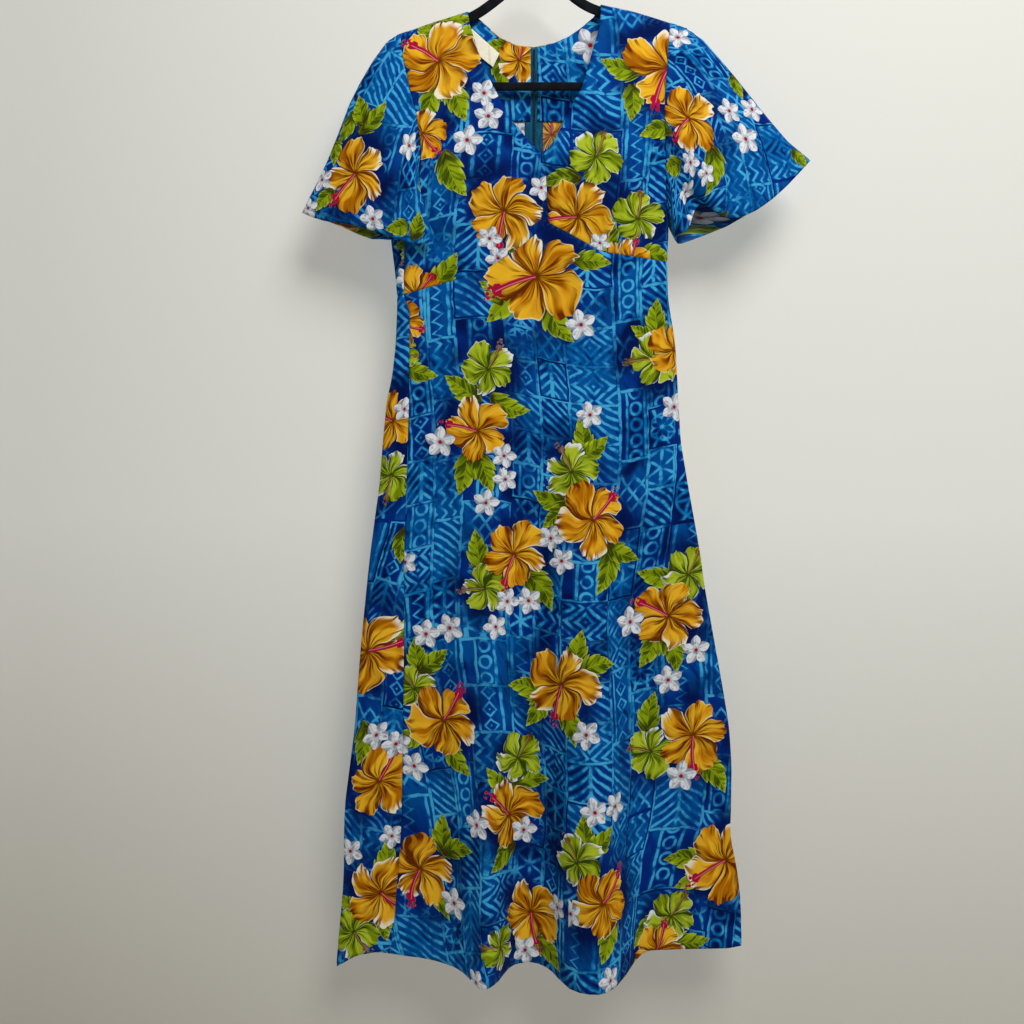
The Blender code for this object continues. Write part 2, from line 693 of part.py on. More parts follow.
def armhole_edge(armhole):
    """Points and normals along the bodice's own edge, finer than its rows but on its chords."""
    pairs = armhole_points(armhole, np.array(ROWS_TO_UNDERARM, float))
    known = np.concatenate([body(pairs[:, 0], pairs[:, 1]), body_normal(pairs[:, 0], pairs[:, 1])], axis=1)
    return np.stack([np.interp(SLEEVE_AROUND, ROWS_TO_UNDERARM, known[:, i]) for i in range(6)], -1)


def clear_of_bodice(at, out, way, lap_start):
    """Starts the sleeve beside the bodice's edge, and outside it where it laps the underarm."""
    lap = np.clip((at - lap_start) / 0.12, 0, 1) * np.clip((1.32 - at) / 0.2, 0, 1)
    beside = np.array([way * SEAM_GAP * 1.7, 0, 0])
    return beside + out * (CLOTH_WALL * 1.5 * lap[:, None])


def neck_facing(name, neck, left):
    """The back neck facing: a band inside the back bodice, from the neck edge down."""
    sign = -1 if left else 1
    s = np.linspace(0, 1, 8)[None, :]
    order = np.argsort(neck["across"])
    across_neck = neck["across"][0] + s * (534.0 + sign * 3.4 - neck["across"][0])
    neck_line = np.interp(across_neck, neck["across"][order], neck["down"][order]) + 0.7
    low_start = neck["across"][0] + sign * FACING_LAP * 0.5
    low_across = low_start + s * (534.0 + sign * 3.4 - low_start)
    v = np.linspace(0, 1, 7)[:, None]
    across = across_neck + v * (low_across - across_neck)
    down = neck_line + v * (FACING_DEEP - neck_line)
    down = np.maximum(down, shoulder_down(across) + 9)
    grid = np.stack([ring_angle(across, down, -1), down], -1)
    offset = -(CLOTH_WALL / 2 + LAYER_GAP + TAPE_WALL + LAYER_GAP + FACING_WALL / 2)
    build_on_body(name, grid, FACING_WALL, offset)


def zip_tape(name, left):
    sign = -1 if left else 1
    width = ZIP_TAPE / STEP
    s = np.linspace(0, 1, 2)[None, :]
    v = np.linspace(0, 1, 13)[:, None]
    across = ZIP_ACROSS + 1.0 + sign * (0.35 + s * width) + 0 * v
    down = 48.5 + v * ZIP_LENGTH / STEP + 0 * s
    grid = np.stack([ring_angle(across, down, -1), down], -1)
    offset = -(CLOTH_WALL / 2 + LAYER_GAP + TAPE_WALL / 2)
    build_on_body(name, grid, TAPE_WALL, offset, "zip_tape_teal")


def zip_slider():
    """The slider at the top of the zip, behind, with its flat pull hanging down the back."""
    rings = []
    for down, half, thick in zip(SLIDER["down"], SLIDER["half"], SLIDER["thick"]):
        angle = ring_angle(np.array([534.0]), np.array([down]), -1)
        out = body_normal(angle, np.array([down]))[0]
        near = body(angle, np.array([down]))[0] + out * (CLOTH_WALL / 2 + LAYER_GAP)
        section = ((-1, 0.25), (-0.8, 0), (0.8, 0), (1, 0.25), (1, 0.75), (0.8, 1), (-0.8, 1), (-1, 0.75))
        rings.append([near + np.array([side * half, 0, 0]) + out * (deep * thick) for side, deep in section])
    faces = [tuple(range(8)), tuple((len(rings) - 1) * 8 + k for k in range(8))]
    for i in range(len(rings) - 1):
        for k in range(8):
            n = (k + 1) % 8
            faces.append((i * 8 + k, i * 8 + n, (i + 1) * 8 + n, (i + 1) * 8 + k))
    mesh_object("zip_slider", np.concatenate(rings), faces, "zip_metal")


def neck_label():
    """A blank label sewn inside the back neck, turned with the neckline."""
    s = np.linspace(0, 1, 6)[None, :, None]
    v = np.linspace(0, 1, 4)[:, None, None]
    corners = np.array([LABEL["across"], LABEL["down"]]).T
    upper = corners[0] + s * (corners[1] - corners[0])
    lower = corners[3] + s * (corners[2] - corners[3])
    spot = upper + v * (lower - upper)
    grid = np.stack([ring_angle(spot[..., 0], spot[..., 1], -1), spot[..., 1]], -1)
    under = CLOTH_WALL / 2 + LAYER_GAP * 3 + TAPE_WALL + FACING_WALL
    build_on_body("neck_label", grid, LABEL_WALL, -(under + LABEL_WALL / 2), "label_cream")


def main():
    clear_scene()
    home = bpy.data.collections.new("hawaiian_maxi_dress")
    bpy.context.scene.collection.children.link(home)
    bodice_front("bodice_front_left", NECK_LEFT, FRONT_ARMHOLE_LEFT, SIDE_LEFT, True)
    bodice_front("bodice_front_right", NECK_RIGHT, FRONT_ARMHOLE_RIGHT, SIDE_RIGHT, False)
    bodice_back("bodice_back_left", BACK_NECK_LEFT, BACK_ARMHOLE_LEFT, SIDE_LEFT, True)
    bodice_back("bodice_back_right", BACK_NECK_RIGHT, BACK_ARMHOLE_RIGHT, SIDE_RIGHT, False)
    skirt(
        "skirt_front",
        (
            lambda d: left_seam(d, HALF_GAP),
            lambda d: front_line(d, 0),
            lambda d: right_seam(d, -HALF_GAP),
        ),
        (FRONT_COLUMNS, FRONT_COLUMNS),
    )
    skirt(
        "skirt_back_right",
        (lambda d: right_seam(d, HALF_GAP), lambda d: back_seam(d, HALF_GAP)),
        (BACK_COLUMNS,),
    )
    skirt(
        "skirt_back_left",
        (lambda d: back_seam(d, -HALF_GAP), lambda d: left_seam(d, -HALF_GAP) + 2 * math.pi),
        (BACK_COLUMNS,),
    )
    sleeve("sleeve_left", FRONT_ARMHOLE_LEFT, BACK_ARMHOLE_LEFT, CUFF_LEFT, TOP_LEFT, True)
    sleeve("sleeve_right", FRONT_ARMHOLE_RIGHT, BACK_ARMHOLE_RIGHT, CUFF_RIGHT, TOP_RIGHT, False)
    neck_facing("neck_facing_left", BACK_NECK_LEFT, True)
    neck_facing("neck_facing_right", BACK_NECK_RIGHT, False)
    zip_tape("zip_tape_left", True)
    zip_tape("zip_tape_right", False)
    zip_slider()
    neck_label()
    hanger()


def centre_line(rows, smooth=3):
    """A path through the table's points, with its corners eased."""
    index = np.arange(len(rows["across"]))
    fine = np.linspace(0, index[-1], (len(index) - 1) * smooth + 1)
    across = np.interp(fine, index, rows["across"])
    down = np.interp(fine, index, rows["down"])
    for _ in range(2):
        across[1:-1] = (across[:-2] + 2 * across[1:-1] + across[2:]) / 4
        down[1:-1] = (down[:-2] + 2 * down[1:-1] + down[2:]) / 4
    return place(across, down, np.zeros(len(fine)))


def hanger():
    for name, rows, way in (("hanger_arm_left", ARM_LEFT, -1), ("hanger_arm_right", ARM_RIGHT, 1)):
        path = centre_line(rows, 2)
        path[0, 0] = way * SEAM_GAP / 2
        path[1, 2] = path[0, 2]
        rod(name, path, ARM_HEIGHT, ARM_DEPTH, "velvet_black")
    rod("hanger_bar", centre_line(BAR, 2), BAR_HEIGHT, BAR_DEPTH, "velvet_black")
    hanger_hook()


def hanger_hook():
    """A plain wire hook: a shank out of the hanger's top, then three quarters of a ring."""
    middle = HOOK_WIRE / 2 - HOOK_RADIUS
    points = []
    for angle in np.radians(np.linspace(200, -40, 21)):
        points.append((HOOK_RADIUS * math.cos(angle), 0.0, middle + HOOK_RADIUS * math.sin(angle)))
    last = np.array(points[-1])
    heading = np.array([math.sin(math.radians(-40)), 0.0, -math.cos(math.radians(-40))])
    apex = (HOOK_DOWN - ARM_LEFT["down"][0]) * STEP + ARM_HEIGHT / 2 + SEAM_GAP
    foot = np.array([0.0, 0.0, apex])
    for t in np.linspace(0, 1, 10)[1:]:
        pull = last + heading * HOOK_BEND
        rise = foot + np.array([0.0, 0.0, HOOK_BEND])
        turn = (1 - t) ** 3 * last + 3 * (1 - t) ** 2 * t * pull + 3 * (1 - t) * t ** 2 * rise + t ** 3 * foot
        points.append(tuple(turn))
    rod("hanger_hook", np.array(points), HOOK_WIRE, HOOK_WIRE, "hook_steel", sides=8)


main()
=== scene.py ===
import math
from functools import partialmethod

import bmesh
import bpy
import numpy as np
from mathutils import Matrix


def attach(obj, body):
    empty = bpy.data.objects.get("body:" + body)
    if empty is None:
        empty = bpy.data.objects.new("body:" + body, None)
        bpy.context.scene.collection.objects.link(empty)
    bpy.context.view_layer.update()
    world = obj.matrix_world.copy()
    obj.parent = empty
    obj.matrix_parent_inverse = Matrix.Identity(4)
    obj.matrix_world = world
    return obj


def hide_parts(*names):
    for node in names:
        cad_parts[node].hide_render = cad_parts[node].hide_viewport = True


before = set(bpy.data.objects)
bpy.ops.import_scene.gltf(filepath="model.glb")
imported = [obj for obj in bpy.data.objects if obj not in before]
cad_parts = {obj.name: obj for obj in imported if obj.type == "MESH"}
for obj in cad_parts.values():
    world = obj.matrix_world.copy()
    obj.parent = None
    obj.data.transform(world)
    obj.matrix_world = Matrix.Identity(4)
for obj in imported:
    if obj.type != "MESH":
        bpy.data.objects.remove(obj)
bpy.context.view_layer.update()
scene = bpy.context.scene

# A photo step is one pixel of the photograph on the hanger's plane, and this turns it into a place
photo = {
    "step": 0.00145,
    "hookAcross": 537.0,
    "hookDown": -72.0,
    "eyeAcross": 512.0,
    "eyeDown": 512.0,
    "eyeAway": 1.6,
    "pictureWide": 1024,
}
step = photo["step"]

stageLook = {
    "wallAway": 0.075,
    "wallWide": 5.0,
    "wallTop": 1.6,
    "floorDown": -1.78,
    "floorDeep": 4.0,
    # the wall's colours: painted light at the top right and painted shade toward the bottom left
    "wallBright": (0.56, 0.558, 0.52, 1),
    "wallDim": (0.27, 0.253, 0.216, 1),
    "floorPaint": (0.6, 0.59, 0.55, 1),
    "wallGlow": 0.48,            # how much of its own light the wall gives, which softens shadows
    "dimDown": (-1.75, -0.85),   # the heights, and on the next row the places across, between which the wall's painted shade brightens to painted light
    "dimAcross": (-0.75, -0.10),
    "keyPower": 71.0,
    "fillPower": 3.5,
    "backPower": 62,
    "sky": (0.97, 0.98, 1.0),
    "skyStrength": 0.13,
}


def srgb(red, green, blue):
    # a colour as read off a screen, 0 to 255, in the renderer's own scale
    def line(v):
        v = v / 255
        return v / 12.92 if v <= 0.04045 else ((v + 0.055) / 1.055) ** 2.4
    return (line(red), line(green), line(blue), 1.0)


def putIn(name, data):
    thing = bpy.data.objects.new(name, data)
    scene.collection.objects.link(thing)
    return thing


def makeCamera():
    lens = bpy.data.cameras.new("camera")
    lens.sensor_width = 36
    lens.lens = 36 * photo["eyeAway"] / (photo["pictureWide"] * step)
    lens.clip_start = 0.02
    eye = putIn("camera", lens)
    eye.location = (
        (photo["eyeAcross"] - photo["hookAcross"]) * step,
        -photo["eyeAway"],
        (photo["hookDown"] - photo["eyeDown"]) * step,
    )
    eye.rotation_euler = (math.radians(90), 0, 0)
    scene.camera = eye


def makeLamp(name, place, target, size, power, colour):
    lamp = bpy.data.lights.new(name, "AREA")
    lamp.shape = "DISK"
    lamp.size = size
    lamp.energy = power
    lamp.color = colour
    holder = putIn(name, lamp)
    holder.location = place
    x, y, z = np.array(target, float) - np.array(place, float)
    holder.rotation_euler = (math.atan2(math.hypot(x, y), -z), 0, math.atan2(y, x) - math.pi / 2)


def newMaterial(name, colour, roughness):
    made = bpy.data.materials.new(name)
    made.use_nodes = True
    tree = made.node_tree
    shader = tree.nodes["Principled BSDF"]
    shader.inputs["Base Color"].default_value = colour
    shader.inputs["Roughness"].default_value = roughness
    return made, tree, shader


def paintWall(made):
    # painted light and painted shade: the wall's colour is brighter at the top right and darker toward the
    # bottom left, it glows a little in that colour, and it is clear from behind
    nodes, links = made.node_tree.nodes, made.node_tree.links
    paint = nodes["Principled BSDF"]
    where = nodes.new("ShaderNodeTexCoord")
    split = nodes.new("ShaderNodeSeparateXYZ")
    links.new(where.outputs["Object"], split.inputs[0])
    shares = []
    for axis, ends in (("Z", stageLook["dimDown"]), ("X", stageLook["dimAcross"])):
        rise = nodes.new("ShaderNodeMapRange")
        rise.inputs["From Min"].default_value, rise.inputs["From Max"].default_value = ends
        rise.inputs["To Max"].default_value = 0.75 if axis == "Z" else 0.25
        links.new(split.outputs[axis], rise.inputs["Value"])
        shares.append(rise)
    both = nodes.new("ShaderNodeMath")
    blend = nodes.new("ShaderNodeMix")
    blend.data_type = "RGBA"
    # painted shade at the bottom left, blending to painted light at the top right
    blend.inputs["A"].default_value = stageLook["wallDim"]
    blend.inputs["B"].default_value = stageLook["wallBright"]
    back = nodes.new("ShaderNodeNewGeometry")
    clear = nodes.new("ShaderNodeBsdfTransparent")
    choose = nodes.new("ShaderNodeMixShader")
    for n, rise in enumerate(shares):
        links.new(rise.outputs["Result"], both.inputs[n])
    links.new(both.outputs[0], blend.inputs["Factor"])
    links.new(blend.outputs["Result"], paint.inputs["Base Color"])
    # the wall also glows in this painted light and shade, though it is no lamp
    links.new(blend.outputs["Result"], paint.inputs["Emission Color"])
    paint.inputs["Emission Strength"].default_value = stageLook["wallGlow"]
    links.new(back.outputs["Backfacing"], choose.inputs[0])
    links.new(paint.outputs[0], choose.inputs[1])
    links.new(clear.outputs[0], choose.inputs[2])
    links.new(choose.outputs[0], nodes["Material Output"].inputs["Surface"])


def makeStage():
    # a pale wall close behind the dress, and a pale floor under it
    half, away, low = stageLook["wallWide"] / 2, stageLook["wallAway"], stageLook["floorDown"]
    near, far = away - stageLook["floorDeep"], away + stageLook["floorDeep"]
    ends = {"wall": (away, low, away, stageLook["wallTop"]), "floor": (near, low, far, low)}
    for name, (y, z, farY, farZ) in ends.items():
        mesh = bpy.data.meshes.new(name)
        corners = [(-half, y, z), (half, y, z), (half, farY, farZ), (-half, farY, farZ)]
        mesh.from_pydata(corners, [], [(0, 1, 2, 3)])
        thing = putIn(name, mesh)
        made, tree, paint = newMaterial(name + "Paint", stageLook["floorPaint"], 0.9)
        paint.inputs["Specular IOR Level"].default_value = 0.1
        if name == "wall":
            paintWall(made)
            thing.visible_shadow = False
        mesh.materials.append(made)


def makeLight():
    world = bpy.data.worlds.new("studio")
    scene.world = world
    world.use_nodes = True
    world.node_tree.nodes["Background"].inputs["Color"].default_value = (*stageLook["sky"], 1)
    world.node_tree.nodes["Background"].inputs["Strength"].default_value = stageLook["skyStrength"]
    middle = (-0.03, 0, -0.75)
    makeLamp("key", (0.75, -1.9, 1.35), (0, 0, -0.4), 1.7, stageLook["keyPower"], (1.0, 0.99, 0.97))
    makeLamp("fill", (-1.7, -2.2, -0.1), middle, 2.0, stageLook["fillPower"], (0.97, 0.98, 1.0))
    makeLamp("back", (0.6, 2.6, 0.8), middle, 2.0, stageLook["backPower"], (1.0, 1.0, 1.0))
    scene.view_settings.view_transform = "Standard"


makeCamera()
makeStage()
makeLight()
print("camera, stage and light made")


def table(columns, *rows):
    return {name: np.array([row[i] for row in rows], float) for i, name in enumerate(columns)}


# The ring of cloth round the body: its left and right edge, and how far it stands
# in front of and behind the hanger's plane, in metres
bodyRings = table(
    ("down", "left", "right", "front", "back"),
    (-10, 376, 706, 0.024, 0.014),
    (60, 378, 698, 0.024, 0.014),
    (120, 382, 688, 0.026, 0.016),
    (180, 387, 675, 0.028, 0.018),
    (215, 390, 670, 0.026, 0.018),
    (240, 391, 668, 0.024, 0.018),
    (270, 395, 667, 0.022, 0.017),
    (300, 397.5, 668, 0.020, 0.016),
    (342, 396, 675, 0.019, 0.016),
    (376, 392.5, 677, 0.019, 0.016),
    (400, 387, 678, 0.019, 0.016),
    (442, 383, 681, 0.019, 0.016),
    (486, 379.5, 688, 0.019, 0.017),
    (522, 374.5, 694.5, 0.019, 0.017),
    (553, 370.5, 700, 0.019, 0.018),
    (584, 367, 704, 0.019, 0.018),
    (640, 361.5, 714, 0.019, 0.019),
    (684, 358, 722, 0.019, 0.019),
    (727, 355, 729, 0.018, 0.020),
    (765, 350, 731.5, 0.018, 0.020),
    (804, 345, 731, 0.018, 0.021),
    (836, 344, 730, 0.018, 0.021),
    (867, 344, 736.5, 0.017, 0.022),
    (890, 343, 739.5, 0.017, 0.022),
    (913, 341, 741, 0.016, 0.022),
    (945, 338, 741.5, 0.016, 0.022),
    (1000, 334, 742, 0.016, 0.022),
)

# The shoulder line that the cloth hangs from
shoulderLine = table(
    ("across", "down"),
    (376, 40), (400, 33), (410, 30), (433, 22), (467, 11.3), (601, 4), (633, 11), (653, 17),
    (670, 22.5), (700, 34),
)

# Neck, from the shoulder to the V and to the centre back
neckLeft = table(
    ("down", "across"),
    (11.3, 467.6), (25.5, 470), (47, 477), (68, 484), (89, 495), (117, 509), (144, 532), (155, 543),
)
neckRight = table(
    ("down", "across"),
    (4, 601), (25, 600), (45, 594), (66, 588), (87, 582), (108, 570), (139, 555), (155, 543),
)
backNeckLeft = table(
    ("across", "down"),
    (467.6, 11.3), (480, 20), (490, 29), (501, 38), (515, 45), (534, 47.5),
)
backNeckRight = table(
    ("across", "down"),
    (601, 4), (594, 17), (580, 29), (568, 37), (555, 43), (534, 47.5),
)
centreFront = table(("down", "across"), (155, 543), (175, 546), (222.5, 548.5))

# Armholes, from the shoulder to the underarm. side is 1 in front, -1 behind and 0 at the edge
frontArmholeLeft = table(
    ("down", "across", "side"),
    (33, 400.5, 1), (53, 402, 1), (89, 410, 1), (112, 416, 1), (132, 419, 1), (153, 421, 1),
    (185, 418, 1), (206, 406, 1), (222, 390, 0),
)
backArmholeLeft = table(
    ("down", "across", "side"),
    (33, 400.5, -1), (60, 404, -1), (100, 409, -1), (150, 411, -1), (185, 407, -1),
    (208, 398, -1), (222, 390, 0),
)
frontArmholeRight = table(
    ("down", "across", "side"),
    (22.5, 670, 1), (50, 668, 1), (93, 665, 1), (116, 664.5, 1), (149, 665.5, 1), (182, 666, 1),
    (210, 666.5, 1), (231, 670, 0),
)
backArmholeRight = table(
    ("down", "across", "side"),
    (22.5, 670, -1), (60, 667, -1), (100, 661, -1), (150, 656, -1), (195, 657, -1),
    (217, 663, -1), (231, 670, 0),
)

# Side seams below the underarm. The left one shows on the front, the right one is behind
sideLeft = table(
    ("down", "across"),
    (222, 390), (230, 396), (241, 404), (295, 403.5), (312, 409.5), (400, 409), (476, 406.5),
    (553, 404), (640, 404), (819, 401.5), (852, 399.5), (882, 397), (913, 395), (951, 390.5),
    (1000, 387),
)
sideRight = table(("down", "across"), (231, 670), (247, 664), (300, 664), (600, 700), (1000, 734))

# Empire seam in front, peaked under the V, and the waist seam behind
empireSeam = table(
    ("across", "down"),
    (380, 301), (403, 294.7), (430, 287), (455, 280), (484, 270), (497, 262.5), (523, 245),
    (548.5, 222.5), (575, 236.5), (601, 251.5), (635, 256.5), (667, 262), (690, 266),
)
waistSeam = table(
    ("across", "down"),
    (380, 301), (397.5, 296.2), (470, 293), (534, 288), (610, 276), (667.5, 262), (690, 264),
)

# Hem as the camera sees it, in front and behind
hemFront = table(
    ("across", "down"),
    (330, 969), (336, 967), (346, 962), (355, 956), (378, 952), (400, 955.5), (421, 958),
    (436, 961), (453, 966.5), (463, 972), (471, 980), (482, 991), (491, 989), (501, 981),
    (508, 969), (516, 964), (531, 962), (543, 965), (553, 972), (562, 983), (574, 992),
    (590, 995), (604, 995), (613, 991), (624, 980), (632, 966), (640, 955), (650, 950.5),
    (680, 949.5), (729, 948.5), (741, 946), (750, 945),
)
hemBehind = table(
    ("across", "down"),
    (330, 969), (336, 967), (350, 957), (390, 947), (534, 944), (690, 942), (735, 945), (750, 945),
)

# Folds at the hem: how far the front stands forward of the plain ring, in metres
hemFolds = table(
    ("across", "stand"),
    (336, 0.000), (365, 0.002), (400, -0.004), (420, 0.000), (436, 0.008), (453, 0.022),
    (466, 0.044), (478, 0.066), (487, 0.072), (497, 0.056), (506, 0.026), (516, 0.006),
    (531, 0.000), (543, 0.006), (553, 0.022), (563, 0.048), (575, 0.070), (590, 0.078),
    (604, 0.078), (614, 0.066), (624, 0.040), (634, 0.014), (645, 0.000), (662, -0.006),
    (690, -0.002), (720, 0.000), (741, 0.000),
)
hemFoldsBehind = table(
    ("across", "stand"),
    (336, 0.000), (380, 0.004), (420, -0.005), (462, 0.006), (505, -0.006), (548, 0.005),
    (600, -0.006), (645, 0.005), (690, -0.004), (741, 0.000),
)

# Cuffs as rings. at runs 0 to 1 down the front, from the top fold to the underarm, and 1 to 2
# up the back
cuffLeft = table(
    ("at", "across", "down", "stand"),
    (0.00, 301.5, 212.5, 0.003), (0.08, 311, 216.5, 0.009), (0.16, 323, 220.5, 0.013),
    (0.25, 338, 222.5, 0.018), (0.34, 354, 225, 0.022), (0.43, 370, 229.5, 0.025),
    (0.51, 384, 234, 0.028), (0.58, 400, 240, 0.031), (0.64, 415, 243.5, 0.034),
    (0.69, 428, 243, 0.036), (0.73, 434, 238.5, 0.034), (0.77, 432.5, 236, 0.029),
    (0.83, 422, 237.5, 0.0245), (0.90, 409, 238.5, 0.0215), (0.96, 398, 239.5, 0.016),
    (1.00, 389, 240, 0.009), (1.06, 385, 240, 0.001), (1.14, 382, 239.5, -0.005),
    (1.24, 379, 239.5, -0.008),
    (1.34, 372, 239.5, -0.009), (1.46, 358, 234.5, -0.010), (1.60, 342, 227, -0.010),
    (1.76, 325, 220.5, -0.008), (1.90, 309, 215.5, -0.006), (1.95, 302.5, 213, -0.004),
    (2.00, 301.5, 212.5, 0.003),
)
cuffRight = table(
    ("at", "across", "down", "stand"),
    (0.00, 811, 160, 0.003), (0.10, 802, 170, 0.009), (0.22, 787, 186, 0.014),
    (0.34, 772, 199.5, 0.020), (0.46, 757, 210, 0.025), (0.56, 743, 216.5, 0.028),
    (0.63, 729, 218.5, 0.027), (0.69, 718, 215.5, 0.021), (0.74, 709, 206, 0.0145),
    (0.78, 701, 203, 0.0125), (0.82, 695, 209, 0.0155), (0.86, 692, 219, 0.022),
    (0.90, 688, 230, 0.026), (0.935, 681, 233, 0.022), (0.965, 676, 235, 0.012),
    (1.00, 675, 241, 0.003), (1.08, 677, 244, -0.004), (1.16, 681, 244, -0.007),
    (1.30, 690, 241, -0.009), (1.42, 706, 235, -0.011), (1.56, 727, 226.5, -0.012),
    (1.70, 752, 212, -0.011), (1.84, 781, 190, -0.008), (1.92, 800, 172, -0.006),
    (1.955, 810, 161, -0.004), (2.00, 811, 160, 0.003),
)

# The top fold of each sleeve, from the shoulder to the cuff's tip
topLeft = table(
    ("at", "across", "down"),
    (0.00, 400.5, 33), (0.07, 387, 42), (0.17, 373, 61), (0.28, 360, 83), (0.39, 349, 105),
    (0.54, 338, 134), (0.69, 327, 161), (0.86, 313, 190), (1.00, 301.5, 212.5),
)
topRight = table(
    ("at", "across", "down"),
    (0.00, 670, 22.5), (0.08, 687, 28.5), (0.17, 703, 40), (0.27, 719, 58), (0.39, 736, 78),
    (0.52, 752, 98), (0.66, 769, 119), (0.82, 788, 141), (1.00, 811, 160),
)


# Creases, each along its own line: across, down, to across, to down, half its width in photo
# steps, and its height in metres, below 0 for a trough
creaseColumns = ("across", "down", "toAcross", "toDown", "wide", "high")
frontCreases = table(
    creaseColumns,
    (430, 320, 425, 900, 9, 0.0030), (470, 420, 462, 960, 10, 0.0046), (500, 560, 512, 940, 9, -0.0046),
    (528, 640, 541, 950, 10, 0.0034), (600, 330, 612, 900, 11, 0.0030), (640, 420, 655, 940, 10, -0.0034),
    (690, 560, 705, 930, 9, 0.0032), (560, 330, 556, 700, 10, -0.0024), (405, 600, 398, 940, 8, -0.0024),
    (448, 300, 446, 620, 7, -0.0020), (520, 290, 516, 560, 8, 0.0020), (668, 300, 676, 620, 8, 0.0022),
    (722, 700, 728, 930, 6, -0.0018), (580, 600, 590, 930, 9, -0.0026),
    (455, 156, 418, 120, 4, -0.0022), (494, 245, 494.5, 262, 2.5, -0.0013),
    (494.5, 265, 494.5, 345, 2.5, -0.0013), (601, 254, 603, 200, 2.5, -0.0013),
    (450, 135, 470, 235, 30, 0.0100), (625, 130, 612, 235, 30, 0.0100),
    (425, 205, 452, 262, 8, -0.0020), (470, 228, 500, 258, 6, 0.0016), (640, 190, 620, 245, 8, -0.0020),
    (575, 180, 598, 240, 7, 0.0016), (440, 60, 432, 120, 7, 0.0016), (645, 60, 650, 120, 7, 0.0014),
    (500, 140, 530, 205, 7, 0.0016), (560, 165, 548, 215, 6, -0.0012),
    (412, 300, 452, 318, 7, 0.0018), (470, 300, 510, 290, 6, -0.0014), (600, 270, 640, 292, 7, 0.0016),
    (430, 345, 480, 372, 9, 0.0014), (640, 330, 590, 372, 9, -0.0014), (500, 420, 556, 452, 10, 0.0012),
    (420, 480, 470, 520, 10, -0.0012), (610, 470, 668, 505, 10, 0.0013),
)
backCreases = table(
    creaseColumns,
    (440, 310, 424, 880, 10, 0.0034), (486, 330, 474, 900, 10, -0.0036), (520, 560, 514, 920, 9, 0.0030),
    (572, 360, 586, 900, 11, 0.0036), (620, 420, 640, 910, 10, -0.0040), (668, 330, 690, 900, 10, 0.0028),
    (400, 560, 384, 920, 9, -0.0026), (545, 640, 552, 925, 8, -0.0024), (706, 640, 716, 920, 8, 0.0024),
    (470, 90, 452, 270, 12, 0.0030), (500, 120, 506, 270, 10, -0.0024), (566, 110, 560, 260, 10, -0.0024),
    (612, 90, 628, 250, 12, 0.0030), (480, 262, 481, 320, 2.5, -0.0013), (592, 250, 593, 308, 2.5, -0.0013),
    (440, 60, 470, 100, 8, 0.0014), (640, 50, 600, 96, 8, 0.0014), (430, 240, 470, 262, 7, -0.0014),
    (640, 215, 600, 245, 7, -0.0014), (420, 420, 470, 462, 9, 0.0013), (650, 470, 600, 505, 9, 0.0012),
)
sleeveLeftCreases = table(
    creaseColumns,
    (396, 60, 352, 214, 7, 0.0032), (401, 90, 372, 226, 6, -0.0036), (405, 120, 392, 232, 6, 0.0034),
    (372, 70, 332, 200, 7, -0.0024), (411, 150, 411, 236, 5, -0.0022), (352, 104, 316, 206, 6, 0.0016),
)
sleeveRightCreases = table(
    creaseColumns,
    (676, 60, 742, 205, 7, -0.0034), (672, 80, 716, 205, 7, 0.0040), (669, 100, 690, 205, 6, -0.0040),
    (700, 50, 768, 190, 8, 0.0030), (724, 66, 792, 172, 7, -0.0022), (668, 150, 678, 220, 5, 0.0024),
)


clothForm = {
    "wall": 0.0005,           # the cloth's own thickness
    "ringPower": 2.4,         # 2 is an oval ring, more is squarer
    "shoulderRound": 0.0072,  # how the cloth rounds over the hanger's arm
    "shoulderEase": 0.060,
    "shoulderStart": 0.0035,
    "sleevePuff": 0.006,
    "foldsStart": 290.0,
    "foldsEnd": 960.0,
    "foldsGrowth": 1.5,
    "seam": 0.00006,          # half the gap at a seam
    "turnUp": 0.0006,         # the turned-up layer at the hems, its height there and at the cuffs
    "hemTurn": 0.030,
    "cuffTurn": 0.008,
    "wrongSide": 0.07,        # how pale the print is on the wrong side of the cloth
    "seamDip": 0.0009,        # how far the cloth turns in beside a seam
    "seamDipWide": 0.0030,
    "pointRow": 0.73,         # the share of the armhole's drop at the point of the V
    "centreRow": 0.38,        # and where the back neck meets the zip
    "stitchPull": 0.0004,     # how far, and how widely, the hem's stitches draw the cloth in
    "stitchPullWide": 0.004,
}

# Where seams meet, in photo steps, each across or down
seamEnds = {
    "neckPoint": 155.0,          # how far down the V ends
    "frontUnderarm": 190.0,      # the centre's height beside the underarm, in front and behind
    "backUnderarm": 197.5,
    "peak": (548.5, 222.5),      # the top of the skirt front, under the V
    "frontLean": 0.012,          # how far the skirt's middle line leans for each step down
    "waistLeft": 294.7,          # the seam of bodice and skirt at the left side
    "waistRight": (664.0, 262.7),
    "waistBack": 288.0,
    "zip": 534.0,
    "armRows": 0.72,             # the share of a bodice's rows that lie above the underarm
}

# How closely each piece is divided
fineness = {
    "bodiceRows": 62,
    "bodiceLowRows": 26,
    "frontColumns": 42,
    "backColumns": 36,
    "skirtRows": 176,
    "sleeveAround": 136,
    "sleeveRows": 50,
}


def place(across, down, stand):
    # the point that the camera sees at (across, down) when it stands that far forward
    shrink = (photo["eyeAway"] - stand) / photo["eyeAway"]
    x = (photo["eyeAcross"] - photo["hookAcross"] + (across - photo["eyeAcross"]) * shrink) * step
    z = (photo["hookDown"] - photo["eyeDown"] - (down - photo["eyeDown"]) * shrink) * step
    return np.stack([x, -stand, z], -1)


